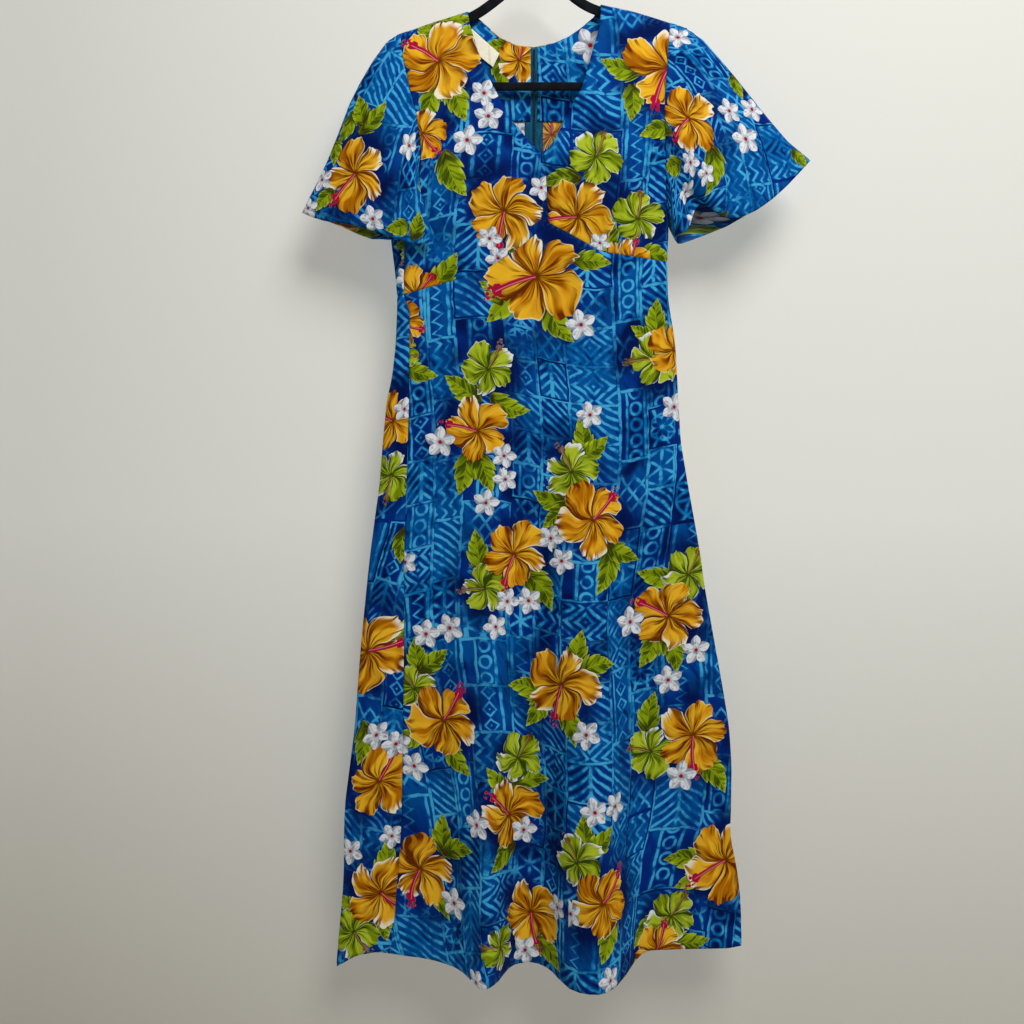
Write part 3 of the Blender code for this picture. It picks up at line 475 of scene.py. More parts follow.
def seen(points):
    # the other way round: where the camera sees each point
    shrink = (photo["eyeAway"] + points[..., 1]) / photo["eyeAway"]
    across = (points[..., 0] / step - photo["eyeAcross"] + photo["hookAcross"]) / shrink + photo["eyeAcross"]
    down = (photo["hookDown"] - photo["eyeDown"] - points[..., 2] / step) / shrink + photo["eyeDown"]
    return across, down


def lookUp(rows, key, value, at):
    return np.interp(at, rows[key], rows[value])


def shoulderDown(across):
    return lookUp(shoulderLine, "across", "down", across)


def smoothed(rows, value, down):
    return sum(lookUp(rows, "down", value, down + shift) for shift in (-9, -4.5, 0, 4.5, 9)) / 5


def bodySpan(down):
    left = smoothed(bodyRings, "left", down)
    right = smoothed(bodyRings, "right", down)
    return (left + right) / 2, (right - left) / 2


def ringAngle(across, down, side):
    # 0 at the left edge, pi at the right edge, and on past pi behind
    centre, half = bodySpan(down)
    reach = np.clip((across - centre) / half, -1, 1)
    front = np.arccos(-np.sign(reach) * np.abs(reach) ** (clothForm["ringPower"] / 2))
    return np.where(side > 0, front, 2 * math.pi - front)


def ringAcross(angle, down):
    turn = np.cos(angle)
    centre, half = bodySpan(down)
    return centre - half * np.sign(turn) * np.abs(turn) ** (2 / clothForm["ringPower"])


def foldStand(across, down, behind):
    grow = (down - clothForm["foldsStart"]) / (clothForm["foldsEnd"] - clothForm["foldsStart"])
    grow = np.clip(grow, 0, 1.1) ** clothForm["foldsGrowth"]
    centre, half = bodySpan(down)
    # the folds run up from the hem, and close up where the ring is narrower
    low, high = hemFolds["across"][[0, -1]]
    spot = (low + high) / 2 + (across - centre) / half * (high - low) / 2
    front, back = (
        sum(lookUp(rows, "across", "stand", spot + k) for k in (-4.0, 0, 4.0)) / 3
        for rows in (hemFolds, hemFoldsBehind)
    )
    return np.where(behind, back, front) * grow


def creaseStand(rows, across, down):
    # soft ridges and troughs, each along its own line, fading out at both ends
    total = np.zeros(np.broadcast(across, down).shape)
    for a, b, c, d, wide, high in zip(*(rows[k] for k in creaseColumns)):
        length2 = (c - a) ** 2 + (d - b) ** 2
        along = ((across - a) * (c - a) + (down - b) * (d - b)) / length2
        bend = np.sin(along * math.pi) * wide * 0.9
        side = ((across - a) * (d - b) - (down - b) * (c - a)) / math.sqrt(length2) + bend
        taper = np.sin(np.clip(along, 0, 1) * math.pi) ** 0.7
        total = total + high * taper * np.exp(-((side / wide) ** 2))
    return total


def bodyPoint(angle, down):
    lift = np.sin(angle)
    across = ringAcross(angle, down)
    roundOff = np.abs(lift) ** (2 / clothForm["ringPower"])
    behind = lift < 0
    deep = np.where(behind, smoothed(bodyRings, "back", down), smoothed(bodyRings, "front", down))
    drop = np.maximum(down - shoulderDown(across), 0.0) * step
    near = np.clip(drop / clothForm["shoulderRound"], 0, 1)
    overArm = clothForm["shoulderRound"] * np.sqrt(1 - (1 - near) ** 2)
    openUp = (deep - clothForm["shoulderRound"]) * (1 - np.exp(-drop / clothForm["shoulderEase"]))
    low = np.clip((down - 60) / 170, 0, 1)
    low = low * low * (3 - 2 * low)
    stand = (overArm + openUp) * (1 + (roundOff - 1) * low)
    crease = np.where(behind, creaseStand(backCreases, across, down), creaseStand(frontCreases, across, down))
    stand = stand + crease * np.clip(np.abs(lift) * 2.2, 0, 1) * near
    stand = np.where(behind, -stand, stand) + foldStand(across, down, behind)
    return place(across, down, stand)


def bodyNormal(angle, down):
    here = bodyPoint(angle, down)
    roundWay = bodyPoint(angle + 2e-3, down) - bodyPoint(angle - 2e-3, down)
    downWay = bodyPoint(angle, down + 0.3) - here
    normal = np.cross(downWay, roundWay)
    across = ringAcross(angle, down)
    slope = shoulderDown(across + 1) - shoulderDown(across - 1)
    upright = np.stack([slope / 2, 0 * slope, 1 + 0 * slope], -1)
    normal = np.where((down - shoulderDown(across) < 0.1)[..., None], upright, normal)
    return normal / np.linalg.norm(normal, axis=-1, keepdims=True)


def gridNormal(points):
    # normals of a tube's grid, whose columns close on themselves
    along = np.roll(points, -1, 1) - np.roll(points, 1, 1)
    normal = np.cross(np.gradient(points, axis=0), along)
    return normal / np.linalg.norm(normal, axis=-1, keepdims=True)


def chordSum(points, axis, parts):
    # how long the cloth is along a row or a column, up to each point
    gaps = np.linalg.norm(np.diff(points[..., parts], axis=axis), axis=-1)
    start = np.zeros_like(np.take(gaps, [0], axis=axis))
    return np.concatenate([start, np.cumsum(gaps, axis=axis)], axis=axis)


def toLastRow(points):
    down = chordSum(points, 0, [0, 1, 2])
    return down[[-1], :] - down


def seamDip(points, normals):
    # the cloth turns in a little beside its seams
    down, along = chordSum(points, 0, [0, 1, 2]), chordSum(points, 1, [0, 1, 2])
    near = np.minimum(np.minimum(down, toLastRow(points)), np.minimum(along, along[:, [-1]] - along))
    dip = clothForm["seamDip"] * np.exp(-((near / clothForm["seamDipWide"]) ** 2))
    return points - normals * dip[..., None]


def patch(inner, outer, top, bottom, rows, columns):
    v, s = rows[:, None, None], columns[None, :, None]
    acrossWay = (1 - s) * inner[:, None, :] + s * outer[:, None, :]
    downWay = (1 - v) * top[None, :, :] + v * bottom[None, :, :]
    corners = (1 - v) * ((1 - s) * top[0] + s * top[-1]) + v * ((1 - s) * bottom[0] + s * bottom[-1])
    return acrossWay + downWay - corners


def armholePoints(rows, fraction):
    # (angle, down) pairs along an armhole, at fractions of its drop
    spot = np.arange(len(rows["down"]))
    angles = ringAngle(rows["across"], rows["down"], rows["side"])
    onLeft = rows["across"][0] < photo["hookAcross"]
    angles = np.where(rows["side"] == 0, 0.0 if onLeft else math.pi, angles)
    if onLeft and rows["side"][0] < 0:
        angles = np.where(rows["side"] >= 0, angles + 2 * math.pi, angles)
    lengths = np.abs(np.diff(rows["down"])) + 0.7 * np.abs(np.diff(rows["across"]))
    along = np.concatenate([[0], np.cumsum(lengths)])
    index = np.interp(fraction, along / along[-1], spot)
    return np.stack([np.interp(index, spot, angles), np.interp(index, spot, rows["down"])], -1)


def bodiceRows():
    upper = np.linspace(0, 1, fineness["bodiceRows"]) ** 1.25
    upper = np.union1d(upper, [0.007, clothForm["pointRow"], clothForm["centreRow"]])
    return upper, np.linspace(0, 1, fineness["bodiceLowRows"] + 1)[1:]


def seamPairs(across, down, side):
    return np.stack([ringAngle(across, down, side), down], -1)


def outerEdge(armhole, sideSeam, upper, lower, left, side, shift):
    # down the armhole, then down the side seam
    above = armholePoints(armhole, upper)
    low = seamEnds["waistLeft"] if left else seamEnds["waistRight"][1]
    down = sideSeam["down"][0] + lower * (low - sideSeam["down"][0])
    below = seamPairs(lookUp(sideSeam, "down", "across", down) + shift, down, side)
    if above[0, 0] > math.pi and side > 0:
        below[:, 0] += 2 * math.pi
    above[-1, 0] += (1 if left else -1) * shift * 0.025
    return np.concatenate([above, below])


def seamDown(angle):
    down = np.full_like(angle, 270.0)
    for _ in range(6):
        across = ringAcross(angle, down)
        ahead = lookUp(empireSeam, "across", "down", across)
        behind = lookUp(waistSeam, "across", "down", across)
        down = np.where(np.sin(angle) >= 0, ahead, behind)
    return down


def waistLine():
    # the seam between bodice and skirt, as the corners that both of them share
    low = seamEnds["waistLeft"]
    corners = [(lookUp(sideLeft, "down", "across", low), low, 1), (*seamEnds["peak"], 1)]
    corners += [(*seamEnds["waistRight"], -1), (seamEnds["zip"], seamEnds["waistBack"], -1)]
    stops = [float(ringAngle(*corner)) for corner in corners]
    stops.append(stops[0] + 2 * math.pi)
    counts = [fineness["frontColumns"]] * 2 + [fineness["backColumns"]] * 2
    parts = [np.linspace(a, b, n + 1)[:-1] for a, b, n in zip(stops[:-1], stops[1:], counts)]
    angles = np.concatenate(parts + [[stops[-1]]])
    return angles, seamDown(angles)


def onWaistLine(angle, shift):
    angles, downs = waistLine()
    return np.interp(angle, angles, downs) + shift


def patchBetween(inner, outer, count, upper, lower):
    columns = np.linspace(0, 1, count + 1)
    share = seamEnds["armRows"]
    rows = np.concatenate([upper * share, share + lower * (1 - share)])
    top = inner[0] + columns[:, None] * (outer[0] - inner[0])
    for _ in range(6):
        top[:, 1] = shoulderDown(ringAcross(top[:, 0], top[:, 1])) + clothForm["shoulderStart"]
    bottom = inner[-1] + columns[:, None] * (outer[-1] - inner[-1])
    bottom[:, 1] = onWaistLine(bottom[:, 0], -gap)
    inner[-1, 1], outer[-1, 1] = bottom[0, 1], bottom[-1, 1]
    inner[0], outer[0] = top[0], top[-1]
    return patch(inner, outer, top, bottom, rows, columns)


gap = clothForm["seam"] / step
underarmRow = len(bodiceRows()[0]) - 1


def bodiceFrontGrid(neck, armhole, sideSeam, left):
    upper, lower = bodiceRows()
    point = clothForm["pointRow"]
    sign = -1 if left else 1
    toPoint = np.minimum(upper / point, 1)
    pastPoint = np.clip((upper - point) / (1 - point), 0, 1)
    end, beside, low = seamEnds["neckPoint"], seamEnds["frontUnderarm"], seamEnds["peak"][1]
    innerDown = neck["down"][0] + toPoint * (end - neck["down"][0]) + pastPoint * (beside - end)
    innerDown = np.concatenate([innerDown, beside + lower * (low - beside)])
    onNeck = lookUp(neck, "down", "across", innerDown)
    onSeam = lookUp(centreFront, "down", "across", innerDown) + sign * gap
    inner = seamPairs(np.where(innerDown < end, onNeck, onSeam), innerDown, 1)
    outer = outerEdge(armhole, sideSeam, upper, lower, left, 1 if left else -1, gap)
    return patchBetween(inner, outer, fineness["frontColumns"], upper, lower)


def bodiceBackGrid(neck, armhole, sideSeam, left):
    upper, lower = bodiceRows()
    centre = clothForm["centreRow"]
    sign = -1 if left else 1
    toCentre = np.minimum(upper / centre, 1)
    zipAcross, beside = seamEnds["zip"], seamEnds["backUnderarm"]
    neckAcross = neck["across"][0] + toCentre * (zipAcross - neck["across"][0])
    order = np.argsort(neck["across"])
    neckDown = np.interp(neckAcross, neck["across"][order], neck["down"][order])
    past = np.clip((upper - centre) / (1 - centre), 0, 1)
    innerDown = neckDown + past * (beside - neck["down"][-1])
    innerDown = np.concatenate([innerDown, beside + lower * (seamEnds["waistBack"] - beside)])
    inset = np.where(upper >= centre, sign * gap, 0.0)
    innerAcross = np.concatenate([neckAcross + inset, np.full(len(lower), zipAcross + sign * gap)])
    inner = seamPairs(innerAcross, innerDown, -1)
    outer = outerEdge(armhole, sideSeam, upper, lower, left, 1 if left else -1, -gap)
    return patchBetween(inner, outer, fineness["backColumns"], upper, lower)


def hemDown(angle):
    across = ringAcross(angle, 955.0)
    soft = lambda rows: sum(lookUp(rows, "across", "down", across + k) for k in (-3, 0, 3)) / 3
    return np.where(np.sin(angle) >= 0, soft(hemFront), soft(hemBehind))


def skirtDown(angle, v):
    top = onWaistLine(angle, gap)
    return top + v * (hemDown(angle) - top)


def skirtEdge(edge, v):
    down = 280 + v * 670
    for _ in range(6):
        down = skirtDown(edge(down), v)
    return edge(down)


def skirtGrid(edges, columns):
    v = np.linspace(0, 1, fineness["skirtRows"] + 1)
    edgeAngles = [skirtEdge(edge, v) for edge in edges]
    parts = []
    for start, end, count in zip(edgeAngles[:-1], edgeAngles[1:], columns):
        spots = np.linspace(0, 1, count + 1)[None, (1 if parts else 0):]
        parts.append(start[:, None] + spots * (end - start)[:, None])
    angle = np.concatenate(parts, axis=1)
    return np.stack([angle, skirtDown(angle, v[:, None])], -1)


def frontLine(down):
    across, top = seamEnds["peak"]
    return ringAngle(across + (down - top) * seamEnds["frontLean"], down, 1)


def leftSeam(down, shift):
    return ringAngle(lookUp(sideLeft, "down", "across", down) + shift, down, 1)


def rightSeam(down, shift):
    return ringAngle(lookUp(sideRight, "down", "across", down) - shift, down, -1)


def backSeam(down, shift):
    return ringAngle(seamEnds["zip"] + shift, down, -1)


# How a sleeve leaves the armhole. Round it, 0 is the shoulder, 1 the underarm, and on to 2 behind
sleeveForm = {
    "lapLeft": 0.45,             # where the sleeve starts to lie over the bodice
    "lapRight": 0.82,
    "lapGrow": 0.12,
    "lapEnd": 1.32,
    "lapFade": 0.2,
    "lapAside": 0.0002,          # how far it stands off there, in metres
    "lapOut": 0.0011,
    "rowPower": 1.1,             # rows lie closer near the armhole
    "crownWide": 0.42,           # how far round from the shoulder the top fold is felt
    "creaseGrow": 1.6,
    "creaseRows": 1.25,
}


def sleevePoints(frontArm, backArm, cuff, top, creases, left):
    count = fineness["sleeveAround"] // 2
    at = np.arange(2 * count) / count
    half = np.linspace(0, 1, count + 1)
    sides = []
    for arm in (frontArm, backArm):
        pair = armholePoints(arm, half).T
        sides.append(np.concatenate([bodyPoint(*pair), bodyNormal(*pair)], 1))
    start, out = np.split(np.concatenate([sides[0], sides[1][-2:0:-1]]), 2, axis=1)
    form = sleeveForm
    lap = np.clip((at - form["lapLeft" if left else "lapRight"]) / form["lapGrow"], 0, 1)
    lap = lap * np.clip((form["lapEnd"] - at) / form["lapFade"], 0, 1)
    aside = (-1 if left else 1) * form["lapAside"]
    start = start + np.array([aside, 0, 0]) + out * (form["lapOut"] * lap[:, None])
    end = place(*(np.interp(at, cuff["at"], cuff[k]) for k in ("across", "down", "stand")))
    end = sum(np.roll(end, k, 0) for k in (-1, 0, 1)) / 3
    v = np.linspace(0, 1, fineness["sleeveRows"] + 1) ** form["rowPower"]
    crown = place(np.interp(v, top["at"], top["across"]), np.interp(v, top["at"], top["down"]), 0 * v)
    line = crown[0] + v[:, None] * (crown[-1] - crown[0])
    nearTop = np.exp(-((np.minimum(at, 2 - at) / form["crownWide"]) ** 2))
    points = start[None] * (1 - v[:, None, None]) + end[None] * v[:, None, None]
    points = points + (crown - line)[:, None, :] * nearTop[None, :, None]
    lift = np.sin(math.pi * at)[None, :]
    points[..., 1] -= np.sin(math.pi * v)[:, None] * lift * clothForm["sleevePuff"]
    across, down = seen(points)
    ease = np.sin(math.pi * np.clip(v * form["creaseRows"], 0, 1) / 2)[:, None]
    ease = np.clip(np.abs(lift) * form["creaseGrow"], 0, 1) * ease
    points[..., 1] -= creaseStand(creases, across, down) * np.sign(lift) * ease
    return points


def flatPlaces(points, grain, level, mirror, parts=([0, 1], [1, 2])):
    # each point's place on the flat cloth in metres, to the right and up as seen from outside
    wide = chordSum(points, 1, parts[0])
    wide = wide - wide[:, [grain]] + points[:, [grain], 0] * mirror
    tall = chordSum(points, 0, parts[1])
    tall = tall[[level], :] - tall + points[[level], :, 2]
    return np.stack([wide, tall], -1)


def meshFrom(name, points, faces):
    mesh = bpy.data.meshes.new(name)
    mesh.from_pydata([tuple(p) for p in points], [], faces)
    mesh.update()
    mesh.polygons.foreach_set("use_smooth", [True] * len(mesh.polygons))
    return putIn(name, mesh)


def shell(name, points, normals, wall, under, slots):
    # a thin cloth of two skins and a rim. The grid's rows run down and its columns to the right as
    # seen from outside; under is how much thicker each row is inside, where the hem is turned up
    rows, columns = points.shape[:2]
    outer = points + normals * (wall / 2)
    inner = points - normals * (wall / 2 + under[:, None, None])
    spot = np.arange(rows * columns).reshape(rows, columns)
    front = np.stack([spot[:-1, :-1], spot[1:, :-1], spot[1:, 1:], spot[:-1, 1:]], -1).reshape(-1, 4)
    count = rows * columns
    loop = np.concatenate([spot[0, ::-1], spot[1:, 0], spot[-1, 1:], spot[-2::-1, -1]])
    rim = np.stack([loop[1:], loop[:-1], loop[:-1] + count, loop[1:] + count], -1)
    faces = np.concatenate([front, front[:, ::-1] + count, rim])
    places = np.concatenate([outer.reshape(-1, 3), inner.reshape(-1, 3)])
    thing = meshFrom(name, places, faces.tolist())
    flat = np.arange(len(faces)) < 2 * len(front)
    thing.data.polygons.foreach_set("use_smooth", flat)
    slot = np.where((np.arange(len(faces)) // len(front)) == 1, slots[1], slots[0])
    thing.data.polygons.foreach_set("material_index", slot)
    return thing


class Wire:
    # one number or vector in a node tree, so that a formula can be written as one
    def __init__(self, tree, out):
        self.tree = tree
        self.out = out

    def calc(self, operation, *others):
        node = self.tree.nodes.new("ShaderNodeMath")
        node.operation = operation
        for socket, value in zip(node.inputs, (self, *others)):
            feed(self.tree, socket, value)
        return Wire(self.tree, node.outputs[0])

    __add__ = __radd__ = partialmethod(calc, "ADD")
    __sub__ = partialmethod(calc, "SUBTRACT")
    __rsub__ = partialmethod(calc, "MULTIPLY_ADD", -1.0)
    __mul__ = __rmul__ = partialmethod(calc, "MULTIPLY")
    __truediv__ = partialmethod(calc, "DIVIDE")
    __pow__ = partialmethod(calc, "POWER")
    abs = partialmethod(calc, "ABSOLUTE")
    floor = partialmethod(calc, "FLOOR")
    fract = partialmethod(calc, "FRACT")
    sin = partialmethod(calc, "SINE")
    cos = partialmethod(calc, "COSINE")
    least = partialmethod(calc, "MINIMUM")
    most = partialmethod(calc, "MAXIMUM")

    def __rtruediv__(self, other):
        return self.calc("POWER", -1.0) * other

    def rise(self, low, high):
        # 0 below low, 1 above high, smooth between; the other way round when low is above high
        node = self.tree.nodes.new("ShaderNodeMapRange")
        node.interpolation_type = "SMOOTHSTEP"
        feed(self.tree, node.inputs["Value"], self)
        feed(self.tree, node.inputs["From Min"], low)
        feed(self.tree, node.inputs["From Max"], high)
        return Wire(self.tree, node.outputs[0])

    def zigzag(self):
        # 1 at whole numbers, 0 half way
        return ((self.fract() - 0.5) * 2).abs()

    def nearLines(self, apart):
        # distance to the nearest of many lines, that far apart
        return ((self / apart + 0.5).fract() - 0.5).abs() * apart


def feed(tree, socket, value):
    if isinstance(value, Wire):
        tree.links.new(value.out, socket)
    else:
        socket.default_value = value


def vector(tree, x=0.0, y=0.0, z=0.0):
    node = tree.nodes.new("ShaderNodeCombineXYZ")
    for socket, value in zip(node.inputs, (x, y, z)):
        feed(tree, socket, value)
    return Wire(tree, node.outputs[0])


def split(place):
    node = place.tree.nodes.new("ShaderNodeSeparateXYZ")
    feed(place.tree, node.inputs[0], place)
    return [Wire(place.tree, out) for out in node.outputs]


def noise(tree, x=0.0, y=0.0, z=0.0, scale=1.0, detail=2.0):
    node = tree.nodes.new("ShaderNodeTexNoise")
    node.inputs["Scale"].default_value = scale
    node.inputs["Detail"].default_value = detail
    feed(tree, node.inputs["Vector"], vector(tree, x, y, z))
    return Wire(tree, node.outputs[0])


def motifPlace(given):
    # where a point lies in its motif, and the motif's number, made exact again
    u, v, seed = split(given["Place"])
    return u, v, (seed * 50.0 + 0.5).floor() / 50.0


def chance(tree, x, y=0.0, z=0.0):
    # three even random numbers for each place
    node = tree.nodes.new("ShaderNodeTexWhiteNoise")
    feed(tree, node.inputs["Vector"], vector(tree, x, y, z))
    return split(Wire(tree, node.outputs["Color"]))


def blend(tree, share, a, b):
    node = tree.nodes.new("ShaderNodeMix")
    node.data_type = "RGBA"
    feed(tree, node.inputs[0], share)
    feed(tree, node.inputs[6], a)
    feed(tree, node.inputs[7], b)
    return Wire(tree, node.outputs[2])


def drawing(name, inputs, outputs, draw):
    # a node group with named inputs, whose inside is worked out by draw. The rest are colours
    kinds = {"Place": "Vector", "Stamen share": "Float", "Mask": "Float"}
    tree = bpy.data.node_groups.new(name, "ShaderNodeTree")
    for way, labels in (("INPUT", inputs), ("OUTPUT", outputs)):
        for label in labels:
            tree.interface.new_socket(label, in_out=way, socket_type="NodeSocket" + kinds.get(label, "Color"))
    given = tree.nodes.new("NodeGroupInput")
    result = tree.nodes.new("NodeGroupOutput")
    wires = {out.name: Wire(tree, out) for out in given.outputs if out.name}
    for socket, value in zip(result.inputs, draw(tree, wires)):
        feed(tree, socket, value)
    return tree


def use(tree, group, **values):
    node = tree.nodes.new("ShaderNodeGroup")
    node.node_tree = group
    for label, value in values.items():
        feed(tree, node.inputs[label], value)
    return [Wire(tree, out) for out in node.outputs]


# Colours of the print
inks = {
    "ground": srgb(0, 42, 126),
    "deepBlue": srgb(0, 20, 78),
    "midBlue": srgb(0, 86, 162),
    "line": srgb(64, 172, 222),
    "lineDim": srgb(4, 108, 176),
    "orange": srgb(204, 126, 4),
    "yellow": srgb(240, 184, 40),
    "rust": srgb(96, 38, 0),
    "cream": srgb(244, 236, 212),
    "magenta": srgb(176, 12, 62),
    "lime": srgb(142, 164, 12),
    "limePale": srgb(178, 196, 48),
    "olive": srgb(42, 62, 4),
    "bark": srgb(54, 34, 14),
    "brown": srgb(118, 66, 16),
    "petalWhite": srgb(230, 233, 238),
    "petalShade": srgb(124, 134, 150),
    "red": srgb(160, 22, 34),
}

hibiscusForm = {
    "petals": 5,
    "twist": 0.34,        # how far the petals' edges swirl
    "uneven": 0.24,       # how much shorter some petals are
    "frill": 0.030,
    "stamenWide": 0.050,
    "stamenLong": 0.84,
}


def drawHibiscus(tree, given):
    u, v, seed = motifPlace(given)
    wander = noise(tree, u * 1.3, v * 1.3, seed * 5.3, 1.0, 1.0) - 0.5
    r = (u * u + v * v) ** 0.5
    theta = v.calc("ARCTAN2", u) + wander * 1.1 + r * hibiscusForm["twist"] + seed * 2.7
    turn = theta * (hibiscusForm["petals"] / (2 * math.pi)) + 20.0
    t = turn.fract()
    which = turn.floor().calc("FLOORED_MODULO", hibiscusForm["petals"])
    luck, fold, tilt = chance(tree, which, seed)
    c = (t - 0.42 - tilt * 0.12).abs()
    waves = (t * (17.0 + tilt * 8.0) + luck * 6.0).sin() + (t * 41.0 + fold * 9.0).sin() * 0.45
    reach = 1.05 - luck * hibiscusForm["uneven"] - (c ** 2.7) * (1.15 + fold * 1.5) + wander * 0.12
    reach = reach + waves * (hibiscusForm["frill"] * c.rise(0.62, 0.2))
    edge = reach - r
    mask = edge.rise(-0.010, 0.012)
    # long streaks from the heart of the flower, and short ones in from the edge
    fine = noise(tree, theta * 7.5, r * 0.8, seed * 3.1, 1.0, 3.0)
    broad = noise(tree, theta * 2.6, r * 1.5, seed * 6.7, 1.0, 1.0)
    body = blend(tree, broad.rise(0.38, 0.60), given["Base"], given["Light"])
    shade = t.rise(0.48, 0.98) * 0.75 + r.rise(0.42, 0.08) * 0.40 + broad.rise(0.47, 0.34) * 0.55
    streaks = fine.rise(0.50, 0.56) * (r.rise(0.78, 0.18) * 0.90 + edge.rise(0.30, 0.03) * 0.80)
    body = blend(tree, (shade * (0.25 + fine) * 0.80 + streaks).least(0.97), body, given["Deep"])
    pale = fine.rise(0.46, 0.36) * r.rise(0.12, 0.40) * 0.50
    body = blend(tree, pale, body, given["Light"])
    onTop = (t * r * 1.25).rise(0.034, 0.012) * r.rise(0.20, 0.44) * broad.rise(0.40, 0.48)
    lip = edge.rise(0.040, 0.016) * broad.rise(0.49, 0.56)
    patch = fold.rise(0.66, 0.68) * (edge + t * 0.10).rise(0.24, 0.08) * fine.rise(0.58, 0.46)
    body = blend(tree, (onTop * 0.60 + lip * 0.6 + patch).least(1.0), body, given["Rim"])
    crack = ((1.0 - t) * r * 1.25).rise(0.050, 0.014) * r.rise(0.08, 0.24)
    heart = r.rise(0.15, 0.04)
    body = blend(tree, (crack * 0.90 + heart * 0.9).least(1.0), body, given["Deep"])
    # the stamen, with its knobs at the far end
    bow = v - (u * u) * 0.16 + u * 0.07
    dots = tree.nodes.new("ShaderNodeTexVoronoi")
    dots.inputs["Scale"].default_value = 11.0
    feed(tree, dots.inputs["Vector"], vector(tree, u, v, seed))
    knob = Wire(tree, dots.outputs["Distance"])
    wide = hibiscusForm["stamenWide"] * (0.75 + u * 0.45)
    shaft = (bow.abs() - wide).rise(0.010, -0.012)
    long = hibiscusForm["stamenLong"]
    shaft = shaft * u.rise(0.0, 0.03) * u.rise(long + 0.02, long - 0.02)
    head = ((u - 0.80) / 0.11) ** 2 + (bow / 0.125) ** 2 + knob * 0.7
    spray = ((u - 0.94) / 0.18) ** 2 + (bow / 0.14) ** 2
    stamen = shaft.most(knob.rise(0.50, 0.42) * spray.rise(1.05, 0.85)).most(head.rise(1.35, 1.15))
    stamen = stamen * given["Stamen share"]
    gleam = (bow - 0.014).abs().rise(0.012, 0.004) * shaft * 0.30
    tone = blend(tree, gleam, given["Stamen"], given["Rim"])
    return blend(tree, stamen, body, tone), mask.most(stamen)


leafForm = {
    "teeth": 3.6,
    "toothDeep": 0.26,
    "halfWide": 0.55,
}


def drawLeaf(tree, given):
    # u runs from the stem at -1 to the tip at 1
    u, v, seed = motifPlace(given)
    bend = v - (u * u - 0.4) * (seed * 0.6 - 0.3)
    side = bend.abs()
    along = ((u + 1.0) * 0.5).most(0.0).least(1.0)
    tooth = (along * leafForm["teeth"] - side * 1.4 + bend.calc("SIGN") * 0.22 + seed).fract()
    plain = ((along ** 0.78) * math.pi).sin() * leafForm["halfWide"]
    wide = plain * (1.0 - leafForm["toothDeep"] * ((1.0 - tooth) ** 1.7))
    edge = wide - side
    mask = edge.rise(-0.010, 0.016) * along.rise(0.0, 0.02) * along.rise(1.0, 0.98)
    grain = noise(tree, (u - side * 1.2) * 5.0, bend * 2.2, seed * 4.0, 1.0, 2.0)
    veins = tooth.rise(0.24, 0.05) * side.rise(0.02, 0.10)
    shade = grain.rise(0.46, 0.58) * 0.55 + veins * 0.70 + along.rise(0.42, 0.10) * 0.50
    shade = shade + bend.rise(0.01, -0.09) * 0.30 + side.rise(0.06, 0.02) * 0.30
    leaf = blend(tree, edge.rise(0.20, 0.02) * grain.rise(0.60, 0.44), given["Base"], given["Light"])
    leaf = blend(tree, shade.least(0.92) * edge.rise(0.0, 0.07), leaf, given["Deep"])
    leaf = blend(tree, along.rise(0.40, 0.02) * grain.rise(0.36, 0.52) * 0.9, leaf, given["Bark"])
    rib = side.rise(0.020, 0.006) * along.rise(0.2, 0.36)
    return blend(tree, rib * 0.6, leaf, given["Light"]), mask


def drawStar(tree, given):
    # a small white flower of five broad pointed petals
    u, v, seed = motifPlace(given)
    r = (u * u + v * v) ** 0.5
    theta = v.calc("ARCTAN2", u) + seed * 4.1
    t = (theta * (5 / (2 * math.pi)) + 20.0).fract() - 0.5
    swing = t * (2 * math.pi / 5) + r * 0.22 - 0.12
    along, side = (r * swing.cos()).most(0.0), r * swing.sin()
    belly = (along.least(1.0)) ** 1.5
    wide = (belly ** 0.6) * ((1.0 - belly) ** 0.92) * 0.98
    edge = wide - side.abs()
    mask = edge.rise(-0.012, 0.020).most(r.rise(0.20, 0.16))
    grain = noise(tree, u * 3.5, v * 3.5, seed * 8, 1.0, 2.0)
    grey = side.rise(0.02, 0.24) * 0.85 + side.abs().rise(0.050, 0.0) * 0.50 + edge.rise(0.05, 0.0) * 0.20
    grey = grey * along.rise(0.12, 0.4) + r.rise(0.36, 0.14) * 0.6 + grain.rise(0.50, 0.70) * 0.6
    petal = blend(tree, grey.least(0.95), given["Base"], given["Deep"])
    return blend(tree, r.rise(0.150, 0.10), petal, given["Eye"]), mask


tapa = {
    "stripWide": 0.052,
    "stripUneven": 0.20,
    "blockLow": 0.042,
    "blockSpread": 0.060,
    "lineHalf": 0.00165,
}


